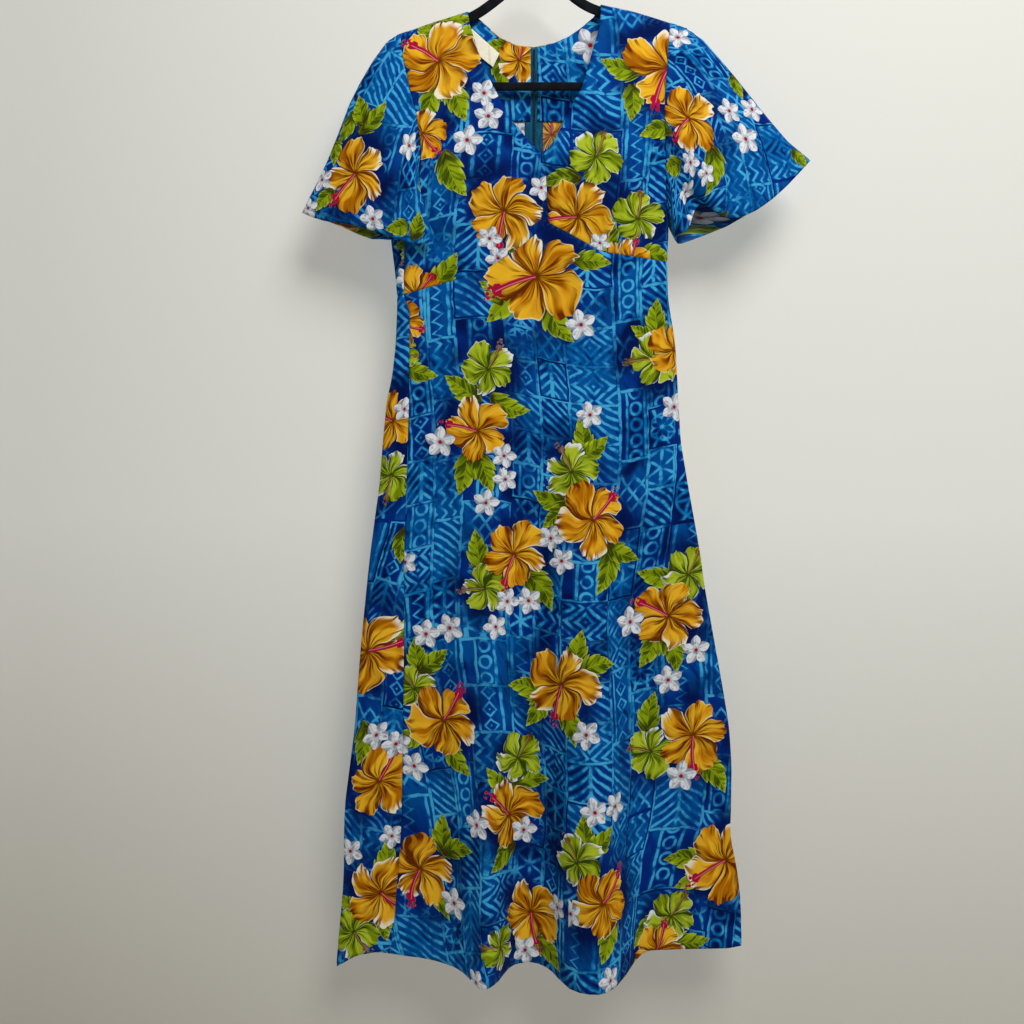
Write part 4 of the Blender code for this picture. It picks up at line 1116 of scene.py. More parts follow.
def drawTapa(tree, given):
    # a barkcloth ground: strips of blocks, each with a carved pattern in light blue brush lines
    x, y, calm = split(given["Place"])
    shake = noise(tree, x, y, 0.0, 42.0, 1.0) - 0.5
    x = x + (y * 13.0 + 2.0).sin() * 0.007 + shake * 0.0050
    y = y + (x * 19.0).sin() * 0.012 + shake * 0.0050
    wave = x / tapa["stripWide"]
    strip = wave + (wave * 2.1).sin() * tapa["stripUneven"]
    halfWide = (tapa["stripWide"] / 2) / (1.0 + (wave * 2.1).cos() * (tapa["stripUneven"] * 2.1))
    k = strip.floor()
    a = (strip.fract() * 2 - 1.0) * halfWide
    luckStrip = chance(tree, k, 3.0)
    tall = tapa["blockLow"] + luckStrip[0] * tapa["blockSpread"]
    level = y / tall + luckStrip[1] * 7.0
    j = level.floor()
    b = (level.fract() * 2 - 1.0) * (tall / 2)
    pick, fillLuck, lean = chance(tree, k, j, 1.0)
    kind = (pick * 10.0).floor()
    side, rise = a.abs(), b.abs()
    rho = (a * a + b * b) ** 0.5
    phi = b.calc("ARCTAN2", a)
    spoke = ((phi * (8 / (2 * math.pi))).fract() - 0.5) * rho * (2 * math.pi / 8)
    petal = (rho / halfWide).least(1.0) * math.pi
    curl = b.nearLines(0.023)
    patterns = [
        (a + (b / 0.023).zigzag() * 0.011).nearLines(0.0155) * 0.70,
        (side + b.nearLines(0.040)).nearLines(0.0118) * 0.72,
        (b + side).nearLines(0.0140).least(side) * 0.72,
        (spoke.abs() - petal.sin() * 0.0056).abs().least((rho - halfWide * 0.95).abs()),
        (side - rise * 0.8).abs().least((side + rise * 0.8 - 0.020).abs()) * 0.75,
        (b.nearLines(0.028) - side * 0.60).abs().least(side.nearLines(0.022)) * 0.80,
        (((a * a + curl * curl) ** 0.5) - 0.0080).abs().least((side - 0.0135).abs()),
        (a * 0.8 + b).nearLines(0.0125) * 0.76,
        (side + curl - 0.0095).abs().least(side + curl).least((side - 0.0165).abs()),
        (a + (b / 0.017).zigzag() * 0.014 - 0.006).abs().least((a.abs() - halfWide * 0.72).abs()) * 0.8,
    ]
    nearest = None
    for n, pattern in enumerate(patterns):
        part = pattern * kind.calc("COMPARE", float(n), 0.5)
        nearest = part if nearest is None else nearest + part
    border = (halfWide - side).least(tall / 2 - rise)
    inside = border.rise(0.0018, 0.0034)
    brush = noise(tree, x * 75.0, y * 75.0, 4.0, 1.0, 2.0)
    width = tapa["lineHalf"] * (0.35 + brush * 1.3)
    lines = (nearest / width).rise(1.30, 0.70) * inside
    frameLine = (border / width).rise(1.6, 0.8) * lean.rise(0.12, 0.16)
    patches = noise(tree, x * 17.0, y * 17.0, 9.0, 1.0, 1.0)
    wash = noise(tree, x * 95.0 + y * 40.0, y * 30.0, 2.0, 1.0, 2.0)
    ground = blend(tree, patches.rise(0.60, 0.38), given["Ground"], given["Deep"])
    filled = (fillLuck + patches).rise(0.82, 0.92) * wash.rise(0.26, 0.58) * 0.85
    ground = blend(tree, (filled * inside * (1.0 - calm)).least(1.0), ground, given["Mid"])
    soft = (nearest / width).rise(3.0, 1.0) * inside * 0.55
    ground = blend(tree, soft * (1.0 - calm), ground, given["Mid"])
    strength = brush.rise(0.22, 0.50) * (1.0 - calm * patches.rise(0.66, 0.46))
    tone = blend(tree, (patches + brush).rise(0.86, 1.14), given["Dim"], given["Line"])
    return (blend(tree, lines.most(frameLine) * strength, ground, tone),)


colourAndMask = ("Colour", "Mask")
hibiscusGroup = drawing(
    "hibiscusDrawing", ("Place", "Base", "Light", "Deep", "Rim", "Stamen", "Stamen share"), colourAndMask,
    drawHibiscus,
)
leafGroup = drawing("leafDrawing", ("Place", "Base", "Light", "Deep", "Bark"), colourAndMask, drawLeaf)
starGroup = drawing("starFlowerDrawing", ("Place", "Base", "Deep", "Eye"), colourAndMask, drawStar)
tapaInputs = ("Place", "Ground", "Deep", "Mid", "Line", "Dim")
tapaGroup = drawing("barkclothDrawing", tapaInputs, ("Colour",), drawTapa)

# The layers of the print, from the bottom up, each with the drawing that fills it
leafInks = {"Base": "lime", "Light": "limePale", "Deep": "olive", "Bark": "bark"}
greenInks = {"Base": "lime", "Light": "limePale", "Deep": "olive", "Rim": "petalWhite", "Stamen": "brown"}
orangeInks = {"Base": "orange", "Light": "yellow", "Deep": "rust", "Rim": "cream", "Stamen": "magenta"}
layers = {
    "leafOne": ("leaf", leafGroup, leafInks),
    "leafTwo": ("leaf", leafGroup, leafInks),
    "greenFlower": ("green", hibiscusGroup, greenInks),
    "orangeFlower": ("orange", hibiscusGroup, orangeInks),
    "starOne": ("star", starGroup, {"Base": "petalWhite", "Deep": "petalShade", "Eye": "red"}),
}
stamenShare = {"green": 0.85, "orange": 1.0}


def printedCloth(name, dull, wanted):
    # dull is how far the wrong side of the cloth loses its colour. Faces that no flower touches
    # take a cloth with fewer layers, which is quicker to draw
    made, tree, shader = newMaterial(name, inks["ground"], 0.78)
    measure = stored(tree, "cloth")
    colour = use(
        tree, tapaGroup, Place=measure, Ground=inks["ground"], Deep=inks["deepBlue"], Mid=inks["midBlue"],
        Line=inks["line"], Dim=inks["lineDim"],
    )[0]
    for label, (kind, group, named) in layers.items():
        if kind not in wanted:
            continue
        values = {socket: inks[ink] for socket, ink in named.items()}
        if kind in stamenShare:
            values["Stamen share"] = stamenShare[kind]
        drawn, mask = use(tree, group, Place=stored(tree, label), **values)
        colour = blend(tree, mask, colour, drawn)
    s, t, calm = split(measure)
    if dull:
        colour = blend(tree, dull, colour, srgb(128, 150, 190))
    feed(tree, shader.inputs["Base Color"], colour)
    shader.inputs["Specular IOR Level"].default_value = 0.04
    shader.inputs["Sheen Weight"].default_value = 0.01
    shader.inputs["Sheen Roughness"].default_value = 0.5
    # the weave, and faint slubs in it
    weave = (s * 5200.0).sin() * (t * 5200.0).sin()
    slub = noise(tree, s * 260.0, t * 40.0, 0.0, 1.0, 1.0)
    bumpOn(tree, shader, weave * 0.25 + slub, 0.22, 0.0005)
    return made


# The print's clusters. Each row is a motif's kind, its place from the cluster's middle in photo
# steps, its turn in degrees clockwise from the right, and its size, the half length of a leaf
# or the radius of a flower
clusters = {
    "A": (
        ("orange", 0, 0, -135, 35), ("green", 15, -59, -80, 24), ("leaf", -17, -40, -110, 21),
        ("leaf", 32, -24, -25, 22), ("leaf", 4, 38, 85, 22), ("leaf", -14, 34, 125, 19),
        ("star", -36, 10, 10, 12), ("star", 28, 26, 80, 12), ("star", 42, 39, 30, 12),
        ("star", 32, 46, 140, 11), ("star", 9, 73, 60, 12),
    ),
    "B": (
        ("orange", 0, 0, -50, 36), ("green", -24, -45, -160, 25), ("leaf", -12, -74, -75, 21),
        ("leaf", -44, -14, 170, 21), ("leaf", 13, 44, 75, 24), ("leaf", -30, 12, 150, 19),
        ("star", -46, 18, 10, 12), ("star", -31, 24, 50, 11), ("star", -33, 43, 95, 12),
        ("star", -3, -107, 20, 12), ("star", 17, -108, 70, 12),
    ),
    "C": (
        ("orange", 0, 0, 130, 37), ("leaf", 18, -34, -75, 20), ("leaf", 42, -12, -20, 22),
        ("leaf", -36, 9, 175, 23), ("leaf", -22, 32, 110, 21), ("leaf", 10, 50, 80, 20),
        ("star", 23, 55, 15, 12),
    ),
    "D": (
        ("orange", 0, 0, 90, 34), ("green", -32, 33, -170, 25), ("leaf", 27, 36, 50, 26),
        ("leaf", -38, -2, -120, 21), ("leaf", -44, 14, 160, 17), ("star", -7, 50, 20, 12),
        ("star", 13, 49, 60, 12), ("star", -18, 74, 100, 12),
    ),
}

# Where the print shows in the photograph: each motif's kind, place, turn and size
frontPrint = {
    "bodiceFrontLeft": {
        "orange": ((439, 61, -154, 41), (423, 134, 60, 27), (504, 211, 83, 41), (417, 294, -60, 28)),
        "leaf": (
            (452, 20, -20, 22), (466, 36, -80, 20), (432, 103, 97, 22), (457, 101, 55, 23),
            (428, 27, 215, 19), (453, 174, 62, 27), (516, 246, 60, 20), (444, 272, -62, 23),
            (400, 284, -120, 19),
        ),
        "star": (
            (484, 93, 10, 15), (488, 116, 50, 15), (500, 104, 80, 12), (467, 140, 20, 16),
            (541, 187, 0, 13), (490, 238, 40, 13), (498, 257, 70, 13),
        ),
    },
    "bodiceFrontRight": {
        "orange": ((668, 68, 131, 46), (577, 216, -155, 37), (628, 262, -60, 26)),
        "green": ((596, 156, -60, 27), (638, 218, -67, 29)),
        "leaf": (
            (622, 68, 205, 23), (632, 101, 100, 21), (657, 131, 170, 19), (562, 180, -160, 21),
            (566, 244, 60, 22), (590, 247, 20, 24), (609, 234, -80, 21), (655, 256, 10, 20),
        ),
        "star": ((600, 243, 60, 11),),
    },
    "skirtFront": {
        "orange": (
            (536, 274, 125, 51), (401, 327, 0, 26), (477, 431, -162, 36), (674, 350, 0, 29),
            (593, 520, -50, 38), (513, 555, 83, 37), (668, 616, -149, 37), (560, 683, 132, 40),
            (444, 720, -48, 40), (508, 814, 182, 36), (693, 735, 90, 40), (603, 904, -50, 37),
            (420, 869, 124, 40), (531, 912, 88, 36), (726, 860, 146, 41), (657, 950, -80, 31),
        ),
        "green": (
            (400, 355, 0, 19), (488, 369, -72, 29), (654, 359, -175, 29), (571, 471, -92, 29),
            (484, 588, 185, 27), (688, 574, -60, 29), (414, 688, -120, 27), (518, 758, -75, 26),
            (650, 751, -170, 28), (577, 862, -100, 28), (500, 948, 150, 26), (671, 916, -60, 28),
        ),
        "leaf": (
            (506, 302, 95, 29), (492, 291, 200, 17), (558, 322, 78, 26), (592, 262, 30, 20),
            (420, 372, 5, 19), (463, 389, 205, 23), (508, 405, -18, 22), (464, 473, 98, 23),
            (485, 472, 72, 22), (657, 320, -85, 22), (645, 335, -140, 17), (582, 438, -80, 20),
            (594, 448, -38, 19), (551, 499, -150, 20), (557, 514, 165, 21), (606, 571, 80, 26),
            (621, 553, 18, 20), (478, 552, -82, 23), (539, 588, 42, 26), (657, 577, 195, 21),
            (650, 648, 112, 22), (672, 652, 68, 22), (578, 653, -60, 22), (597, 668, -22, 22),
            (527, 690, 190, 22), (537, 708, 110, 21), (569, 727, 88, 22), (418, 657, -100, 21),
            (433, 661, -35, 20), (410, 738, 160, 20), (457, 758, 70, 22), (499, 783, 195, 21),
            (529, 781, -20, 21), (503, 857, 98, 23), (650, 714, -88, 23), (713, 775, 45, 23),
            (584, 837, -82, 21), (601, 842, -38, 20), (610, 939, 85, 24), (443, 835, -72, 22),
            (457, 850, 10, 20), (436, 900, 62, 21), (549, 949, 62, 27), (686, 861, 190, 23),
            (695, 878, 150, 22), (645, 930, 110, 21), (688, 941, 0, 22),
        ),
        "star": (
            (581, 324, 20, 16), (440, 442, 10, 16), (503, 457, 40, 13), (519, 467, 80, 14),
            (506, 479, 20, 13), (590, 415, 30, 14), (611, 413, 60, 14), (674, 407, 0, 15),
            (486, 503, 20, 14), (551, 538, 10, 14), (564, 538, 60, 13), (561, 561, 95, 14),
            (508, 600, 20, 14), (528, 601, 70, 14), (496, 626, 40, 13), (405, 562, 0, 13),
            (426, 634, 15, 15), (450, 628, 65, 15), (630, 622, 15, 16), (696, 650, 10, 15),
            (695, 668, 60, 14), (668, 680, 30, 15), (586, 735, 15, 15), (398, 742, 20, 14),
            (411, 747, 70, 14), (414, 766, 20, 15), (477, 826, 40, 15), (524, 830, 10, 14),
            (539, 837, 60, 14), (526, 846, 100, 13), (681, 776, 10, 16), (702, 784, 60, 15),
            (664, 791, 100, 15), (595, 813, 15, 15), (615, 806, 75, 15), (571, 915, 30, 14),
            (568, 935, 80, 14), (558, 908, 10, 13), (454, 903, 10, 16), (525, 950, 20, 15),
            (544, 956, 70, 14), (612, 980, 30, 14), (476, 982, 30, 13),
        ),
    },
    "skirtBackLeft": {
        "orange": ((393, 421, 190, 34), (368, 651, -34, 42), (379, 781, -78, 37), (381, 893, 35, 37)),
        "green": ((391, 475, 80, 28), (354, 932, 20, 28)),
        "leaf": (
            (402, 545, 80, 19), (400, 632, -60, 20), (364, 742, 60, 23), (385, 860, -80, 22),
            (348, 905, 185, 17), (384, 922, 80, 20),
        ),
        "star": (
            (404, 409, 0, 12), (377, 735, 10, 15), (396, 744, 50, 15), (350, 852, 10, 14),
            (364, 848, 60, 14), (361, 865, 30, 14), (392, 836, 80, 13),
        ),
    },
    "sleeveLeft": {
        "orange": ((355, 173, 153, 40),),
        "leaf": (
            (373, 118, -12, 22), (361, 112, -70, 20), (347, 128, 160, 19), (334, 150, 115, 17),
            (325, 199, 150, 16), (399, 228, 185, 16), (417, 226, -50, 16),
        ),
        "star": (
            (409, 146, 20, 16), (373, 219, 60, 14), (322, 180, 10, 13), (316, 196, 60, 13),
            (308, 208, 90, 12),
        ),
    },
    "sleeveRight": {
        "orange": ((689, 119, 88, 41),),
        "leaf": (
            (656, 131, 165, 21), (673, 165, 97, 23), (713, 168, 55, 28), (738, 86, 30, 16),
            (800, 158, 20, 15),
        ),
        "star": (
            (678, 38, 20, 16), (729, 112, 10, 15), (751, 110, 60, 15), (746, 139, 30, 18),
            (690, 163, 20, 15), (706, 174, 75, 13), (686, 192, 15, 13), (697, 218, 60, 12),
        ),
    },
}

# What shows of the print's inside, and on the facings
insidePrint = {
    "facingLeft": {
        "orange": ((519, 60, -70, 25),),
        "leaf": ((497, 46, -150, 16), (503, 71, 100, 20)),
    },
    "facingRight": {
        "star": ((590, 46, 20, 19),),
    },
    "bodiceBackLeft": {
        "leaf": ((518, 128, 150, 15),),
    },
    "bodiceBackRight": {
        "orange": ((552, 134, -80, 27),),
    },
    "sleeveLeft": {
        "orange": ((334, 222, 60, 26),),
        "leaf": ((354, 233, 10, 22),),
    },
    "sleeveRight": {
        "leaf": ((682, 231, 12, 22),),
        "star": ((701, 218, 30, 13),),
    },
}

printRepeat = {
    "seed": 7,
    "across": (175.0, 183.0),      # the two steps of the repeat, each across and down
    "down": (-155.0, 190.0),
    "clusters": (("A", 0, 0), ("B", 120, 90), ("D", 39, 123), ("C", 79, 252)),
    "calmReach": 1.45,             # how far round a flower the ground goes quiet, in its sizes
    "calmFull": 0.65,              # and the share of that within which it is fully quiet
    "calmEnd": 1.25,
    "runs": 9,                     # how many steps each way the repeat is tried
    "wobble": 9.0,                 # how far a motif turns by chance, in degrees
    "margin": 0.06,                # how far past the cloth's edge a motif may start, in metres
    "apart": 0.9,                  # how near motifs may come, as a share of their sizes together
    "sameLayer": {"leaf": 0.64, "green": 0.78, "orange": 0.78, "star": 0.78},
}

motifReach = {"orange": 1.18, "green": 1.18, "leaf": 1.08, "star": 1.08}
motifLayers = {
    "leaf": ("leafOne", "leafTwo"),
    "green": ("greenFlower",),
    "orange": ("orangeFlower",),
    "star": ("starOne",),
}


def repeatOver(low, high, rng):
    # the print's own repeat over a stretch of flat cloth, in metres
    steps = np.array([printRepeat["across"], printRepeat["down"]]) * step
    found = []
    runs = range(-printRepeat["runs"], printRepeat["runs"] + 1)
    low, high = low - printRepeat["margin"], high + printRepeat["margin"]
    for i in runs:
        for j in runs:
            spot = i * steps[0] + j * steps[1]
            for name, right, down in printRepeat["clusters"]:
                for kind, x, y, turn, size in clusters[name]:
                    s = spot[0] + (right + x) * step
                    t = -(spot[1] + (down + y) * step)
                    wobble = rng.uniform(-printRepeat["wobble"], printRepeat["wobble"])
                    if low[0] < s < high[0] and low[1] < t < high[1]:
                        found.append((kind, s, t, turn + wobble, size * step))
    return found


def motifsAt(chart, points, flat, inside):
    # the chart's motifs moved from the picture onto the flat cloth, turned with it. Inside, the
    # print is seen through from its wrong side
    across, down = seen(points)
    normal = np.cross(np.gradient(points, axis=0), np.gradient(points, axis=1))
    hidden = (normal[..., 1] > 0) != inside
    rightWay = np.stack([np.gradient(across, axis=1), np.gradient(down, axis=1)], -1)
    found = []
    for kind, x, y, turn, size in ((kind, *row) for kind, rows in chart.items() for row in rows):
        far = (across - x) ** 2 + (down - y) ** 2 + hidden * 1e7
        i, j = np.unravel_index(np.argmin(far), far.shape)
        if far[i, j] > 50 ** 2:
            continue
        way = rightWay[i, j] / np.linalg.norm(rightWay[i, j])
        spare = np.array([x - across[i, j], y - down[i, j]]) * step
        right = spare @ way
        low = (spare[1] * way[0] - spare[0] * way[1]) * (-1 if inside else 1)
        slant = math.degrees(math.atan2(way[1], way[0]))
        spin = slant - turn if inside else turn - slant
        found.append((kind, flat[i, j, 0] + right, flat[i, j, 1] - low, spin, size * step))
    return found


def hiddenRepeat(points, flat, shown):
    # the print's repeat where the photograph can't see, clear of the motifs that it shows
    normal = np.cross(np.gradient(points, axis=0), np.gradient(points, axis=1))
    places = flat.reshape(-1, 2)
    found = []
    for row in repeatOver(places.min(0), places.max(0), np.random.default_rng(printRepeat["seed"])):
        _, s, t, _, size = row
        nearest = np.argmin(np.hypot(places[:, 0] - s, places[:, 1] - t))
        clear = all(math.hypot(s - a, t - b) > (size + c) * printRepeat["apart"] for _, a, b, _, c in shown)
        if clear and normal.reshape(-1, 3)[nearest, 1] > 0:
            found.append(row)
    return found


def spread(motifs):
    # puts each motif in the first of its kind's layers where it overlaps no other
    taken = {name: [] for names in motifLayers.values() for name in names}
    for kind, s, t, turn, size in motifs:
        names = motifLayers[kind]
        for name in names:
            share = printRepeat["sameLayer"][kind]
            clear = all(math.hypot(s - a, t - b) > (size + c) * share for a, b, _, c, _ in taken[name])
            if clear:
                taken[name].append((s, t, turn, size, motifReach[kind]))
                break
    return taken


def printOn(thing, flat, motifs):
    # stores each face corner's place in its motif, and each point's place on the flat cloth
    mesh = thing.data
    count = len(mesh.vertices)
    place2 = np.tile(flat.reshape(-1, 2), (2, 1))[:count]
    calm = np.zeros(count)
    for kind, s, t, turn, size in motifs:
        if kind in ("orange", "green"):
            near = np.hypot(place2[:, 0] - s, place2[:, 1] - t) / (size * printRepeat["calmReach"])
            fade = printRepeat["calmEnd"] - printRepeat["calmFull"]
            calm = np.maximum(calm, np.clip((printRepeat["calmEnd"] - near) / fade, 0, 1))
    cloth = mesh.attributes.new("cloth", "FLOAT_VECTOR", "POINT")
    cloth.data.foreach_set("vector", np.column_stack([place2, calm]).ravel())
    corners = np.zeros(len(mesh.loops), int)
    mesh.loops.foreach_get("vertex_index", corners)
    totals = np.zeros(len(mesh.polygons), int)
    mesh.polygons.foreach_get("loop_total", totals)
    face = np.repeat(np.arange(len(totals)), totals)
    cornerPlace = place2[corners]
    middle = np.stack([np.bincount(face, cornerPlace[:, k]) for k in (0, 1)], -1) / totals[:, None]
    span = np.hypot(*(cornerPlace - middle[face]).T)
    widest = np.zeros(len(totals))
    np.maximum.at(widest, face, span)
    slot = np.zeros(len(totals), int)
    mesh.polygons.foreach_get("material_index", slot)
    for name, rows in spread(motifs).items():
        values = np.full((len(corners), 3), 9.0)
        values[:, 2] = 0.0
        best = np.full(len(totals), 1e9)
        chosen = np.full(len(totals), -1)
        for n, (s, t, turn, size, reach) in enumerate(rows):
            far = np.hypot(middle[:, 0] - s, middle[:, 1] - t)
            near = (far < size * reach + widest + 0.002) & (far / size < best)
            best[near], chosen[near] = far[near] / size, n
        needed = 3 if name.endswith("Flower") else 2
        slot = np.where((chosen >= 0) & (slot != 1), np.maximum(slot, needed), slot)
        hit = chosen[face] >= 0
        if hit.any():
            table4 = np.array([row[:4] for row in rows])[chosen[face][hit]]
            offset = cornerPlace[hit] - table4[:, :2]
            angle = np.radians(table4[:, 2])
            # turned clockwise in the picture, where down is against t
            u = offset[:, 0] * np.cos(angle) - offset[:, 1] * np.sin(angle)
            v = offset[:, 0] * np.sin(angle) + offset[:, 1] * np.cos(angle)
            seeds = np.round(np.sin(table4[:, 0] * 91.7 + table4[:, 1] * 47.3) * 437.5 % 1.0 * 50) / 50
            values[hit] = np.column_stack([u / table4[:, 3], v / table4[:, 3], seeds])
        made = mesh.attributes.new(name, "FLOAT_VECTOR", "CORNER")
        made.data.foreach_set("vector", values.ravel())
    mesh.polygons.foreach_set("material_index", slot)


def bumpOn(tree, shader, height, strength, distance):
    bump = tree.nodes.new("ShaderNodeBump")
    bump.inputs["Strength"].default_value = strength
    bump.inputs["Distance"].default_value = distance
    feed(tree, bump.inputs["Height"], height)
    tree.links.new(bump.outputs[0], shader.inputs["Normal"])


def stored(tree, label):
    node = tree.nodes.new("ShaderNodeAttribute")
    node.attribute_name = label
    return Wire(tree, node.outputs["Vector"])


def objectPlace(tree):
    node = tree.nodes.new("ShaderNodeTexCoord")
    return split(Wire(tree, node.outputs["Object"]))


def setLook(shader, values):
    for label, value in values.items():
        shader.inputs[label].default_value = value


def makeTapeCloth():
    made, tree, shader = newMaterial("zipTapeWeave", srgb(0, 78, 108), 0.72)
    s, t, _ = split(stored(tree, "cloth"))
    rib = (s * 4200.0).sin() * 0.6 + (t * 3100.0).sin() * 0.4
    tone = noise(tree, s * 300.0, t * 60.0, 0.0, 1.0, 2.0)
    colour = blend(tree, tone.rise(0.35, 0.7), srgb(0, 66, 96), srgb(14, 98, 128))
    feed(tree, shader.inputs["Base Color"], colour)
    setLook(shader, {"Specular IOR Level": 0.1})
    bumpOn(tree, shader, rib, 0.35, 0.0002)
    return made


def makeLabelCloth():
    made, tree, shader = newMaterial("labelSatin", srgb(250, 244, 222), 0.5)
    s, t, _ = split(stored(tree, "cloth"))
    weft = (t * 9000.0 + noise(tree, s * 200, t * 200, 0.0, 1.0, 1.0) * 4).sin()
    tone = noise(tree, s * 90.0, t * 700.0, 0.0, 1.0, 2.0)
    colour = blend(tree, tone.rise(0.3, 0.75), srgb(244, 236, 208), srgb(255, 252, 234))
    feed(tree, shader.inputs["Base Color"], colour)
    setLook(shader, {"Sheen Weight": 0.2})
    bumpOn(tree, shader, weft, 0.2, 0.0002)
    return made


velvetLook = {
    "Specular IOR Level": 0.15,
    "Sheen Weight": 0.35,
    "Sheen Roughness": 0.35,
    "Sheen Tint": srgb(150, 170, 200),
}


def makeVelvet():
    made, tree, shader = newMaterial("blackVelvet", srgb(10, 14, 20), 0.9)
    x, y, z = objectPlace(tree)
    pile = noise(tree, x, y, z, 2600.0, 2.0)
    rubbed = noise(tree, x, y, z, 60.0, 2.0)
    worn = rubbed.rise(0.4, 0.75) * pile.rise(0.3, 0.8)
    feed(tree, shader.inputs["Base Color"], blend(tree, worn, srgb(6, 10, 16), srgb(30, 38, 48)))
    setLook(shader, velvetLook)
    bumpOn(tree, shader, pile, 0.5, 0.0004)
    return made


def makeSteel(name, colour, roughness):
    made, tree, shader = newMaterial(name, colour, roughness)
    setLook(shader, {"Metallic": 1.0})
    x, y, z = objectPlace(tree)
    wear = noise(tree, x, y, z, 240.0, 3.0)
    feed(tree, shader.inputs["Roughness"], wear * 0.25 + (roughness - 0.12))
    bumpOn(tree, shader, noise(tree, x, y, z * 0.1, 1500.0, 2.0), 0.08, 0.0002)
    return made


def makeThread(name, colour):
    made, tree, shader = newMaterial(name, colour, 0.65)
    x, y, z = objectPlace(tree)
    twist = ((x + y + z) * 9000.0).sin()
    bumpOn(tree, shader, twist, 0.4, 0.0001)
    return made


tapeCloth = makeTapeCloth()
labelCloth = makeLabelCloth()
velvet = makeVelvet()
hookSteel = makeSteel("hookSteel", srgb(206, 208, 210), 0.24)
zipMetal = makeSteel("zipMetal", srgb(150, 160, 170), 0.38)
coilPlastic = makeThread("zipCoil", srgb(0, 58, 84))
blueThread = makeThread("blueThread", srgb(16, 52, 120))
creamThread = makeThread("creamThread", srgb(232, 222, 196))


def keep(thing, slotName, *nodes):
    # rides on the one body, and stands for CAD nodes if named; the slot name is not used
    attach(thing, "root")
    if nodes:
        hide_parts(*nodes)
    return thing


def makePanel(name, node, grid, chart, grain, mirror=1, level=0, turnUp=0.0, fromInside={}, goesRound=False):
    # one sewn panel of the body of the dress
    points = bodyPoint(grid[..., 0], grid[..., 1])
    normals = bodyNormal(grid[..., 0], grid[..., 1])
    flat = flatPlaces(points, grain, level, mirror)
    points = seamDip(points, normals)
    panels[name] = (points, normals, flat)
    return makeCloth(name, node, points, normals, flat, chart, turnUp, fromInside, goesRound)


def makeCloth(
    name, node, points, normals, flat, chart, turnUp=0.0, fromInside={}, goesRound=False,
    wall=clothForm["wall"], slots=(0, 1),
):
    # goesRound is for a piece that the photograph shows on one side only
    under = np.zeros(points.shape[0])
    if turnUp:
        # the hem is turned up inside, and its stitches draw the cloth in a little
        toEdge = toLastRow(points)
        pull = np.exp(-(((toEdge - turnUp) / clothForm["stitchPullWide"]) ** 2))
        points = points - normals * (clothForm["stitchPull"] * pull)[..., None]
        under = np.where(toEdge.mean(1) < turnUp, clothForm["turnUp"], 0.0)
    thing = shell(name, points, normals, wall, under, slots)
    motifs = motifsAt(fromInside, points, flat, True)
    if chart is None:
        places = flat.reshape(-1, 2)
        motifs += repeatOver(places.min(0), places.max(0), np.random.default_rng(printRepeat["seed"]))
    else:
        motifs += motifsAt(chart, points, flat, False)
    if goesRound:
        motifs += hiddenRepeat(points, flat, motifs)
    printOn(thing, flat, motifs)
    for made in (printGround, printWrong, printSmall, printRight):
        thing.data.materials.append(made)
    return keep(thing, "printed_cloth", node)


def declare(thing):
    # the cut of a panel, from its own measure on the flat
    points, _, flat = panels[thing.name]
    size = np.ptp(flat.reshape(-1, 2), axis=0)
    sides = np.cross(points[1:, :-1] - points[:-1, :-1], points[:-1, 1:] - points[:-1, :-1])
    others = np.cross(points[1:, :-1] - points[1:, 1:], points[:-1, 1:] - points[1:, 1:])
    area = (np.linalg.norm(sides, axis=-1).sum() + np.linalg.norm(others, axis=-1).sum()) / 2
    wide, tall = (round(float(v), 3) for v in size)
    area = float(min(max(area, 0.31 * wide * tall), 0.99 * wide * tall))
    print("cut", thing.name, wide, tall, round(area, 4))


panels = {}
everything = ("leaf", "green", "orange", "star")
printGround = printedCloth("printedClothGround", 0.0, ())
printSmall = printedCloth("printedClothLeaves", 0.0, ("leaf", "star"))
printRight = printedCloth("printedClothFlowers", 0.0, everything)
printWrong = printedCloth("printedClothWrongSide", clothForm["wrongSide"], everything)

front, back = fineness["frontColumns"], fineness["backColumns"]
bodiceFrontLeft = makePanel(
    "bodiceFrontLeft", "bodice_front_left",
    bodiceFrontGrid(neckLeft, frontArmholeLeft, sideLeft, True)[:, ::-1],
    frontPrint["bodiceFrontLeft"], front // 2, level=underarmRow,
)
bodiceFrontRight = makePanel(
    "bodiceFrontRight", "bodice_front_right",
    bodiceFrontGrid(neckRight, frontArmholeRight, sideRight, False),
    frontPrint["bodiceFrontRight"], front // 2, level=underarmRow,
)
bodiceBackRight = makePanel(
    "bodiceBackRight", "bodice_back_right",
    bodiceBackGrid(backNeckRight, backArmholeRight, sideRight, False)[:, ::-1],
    None, back // 2, mirror=-1, level=underarmRow, fromInside=insidePrint["bodiceBackRight"],
)
bodiceBackLeft = makePanel(
    "bodiceBackLeft", "bodice_back_left",
    bodiceBackGrid(backNeckLeft, backArmholeLeft, sideLeft, True),
    None, back // 2, mirror=-1, level=underarmRow, fromInside=insidePrint["bodiceBackLeft"],
)
print("bodice made")

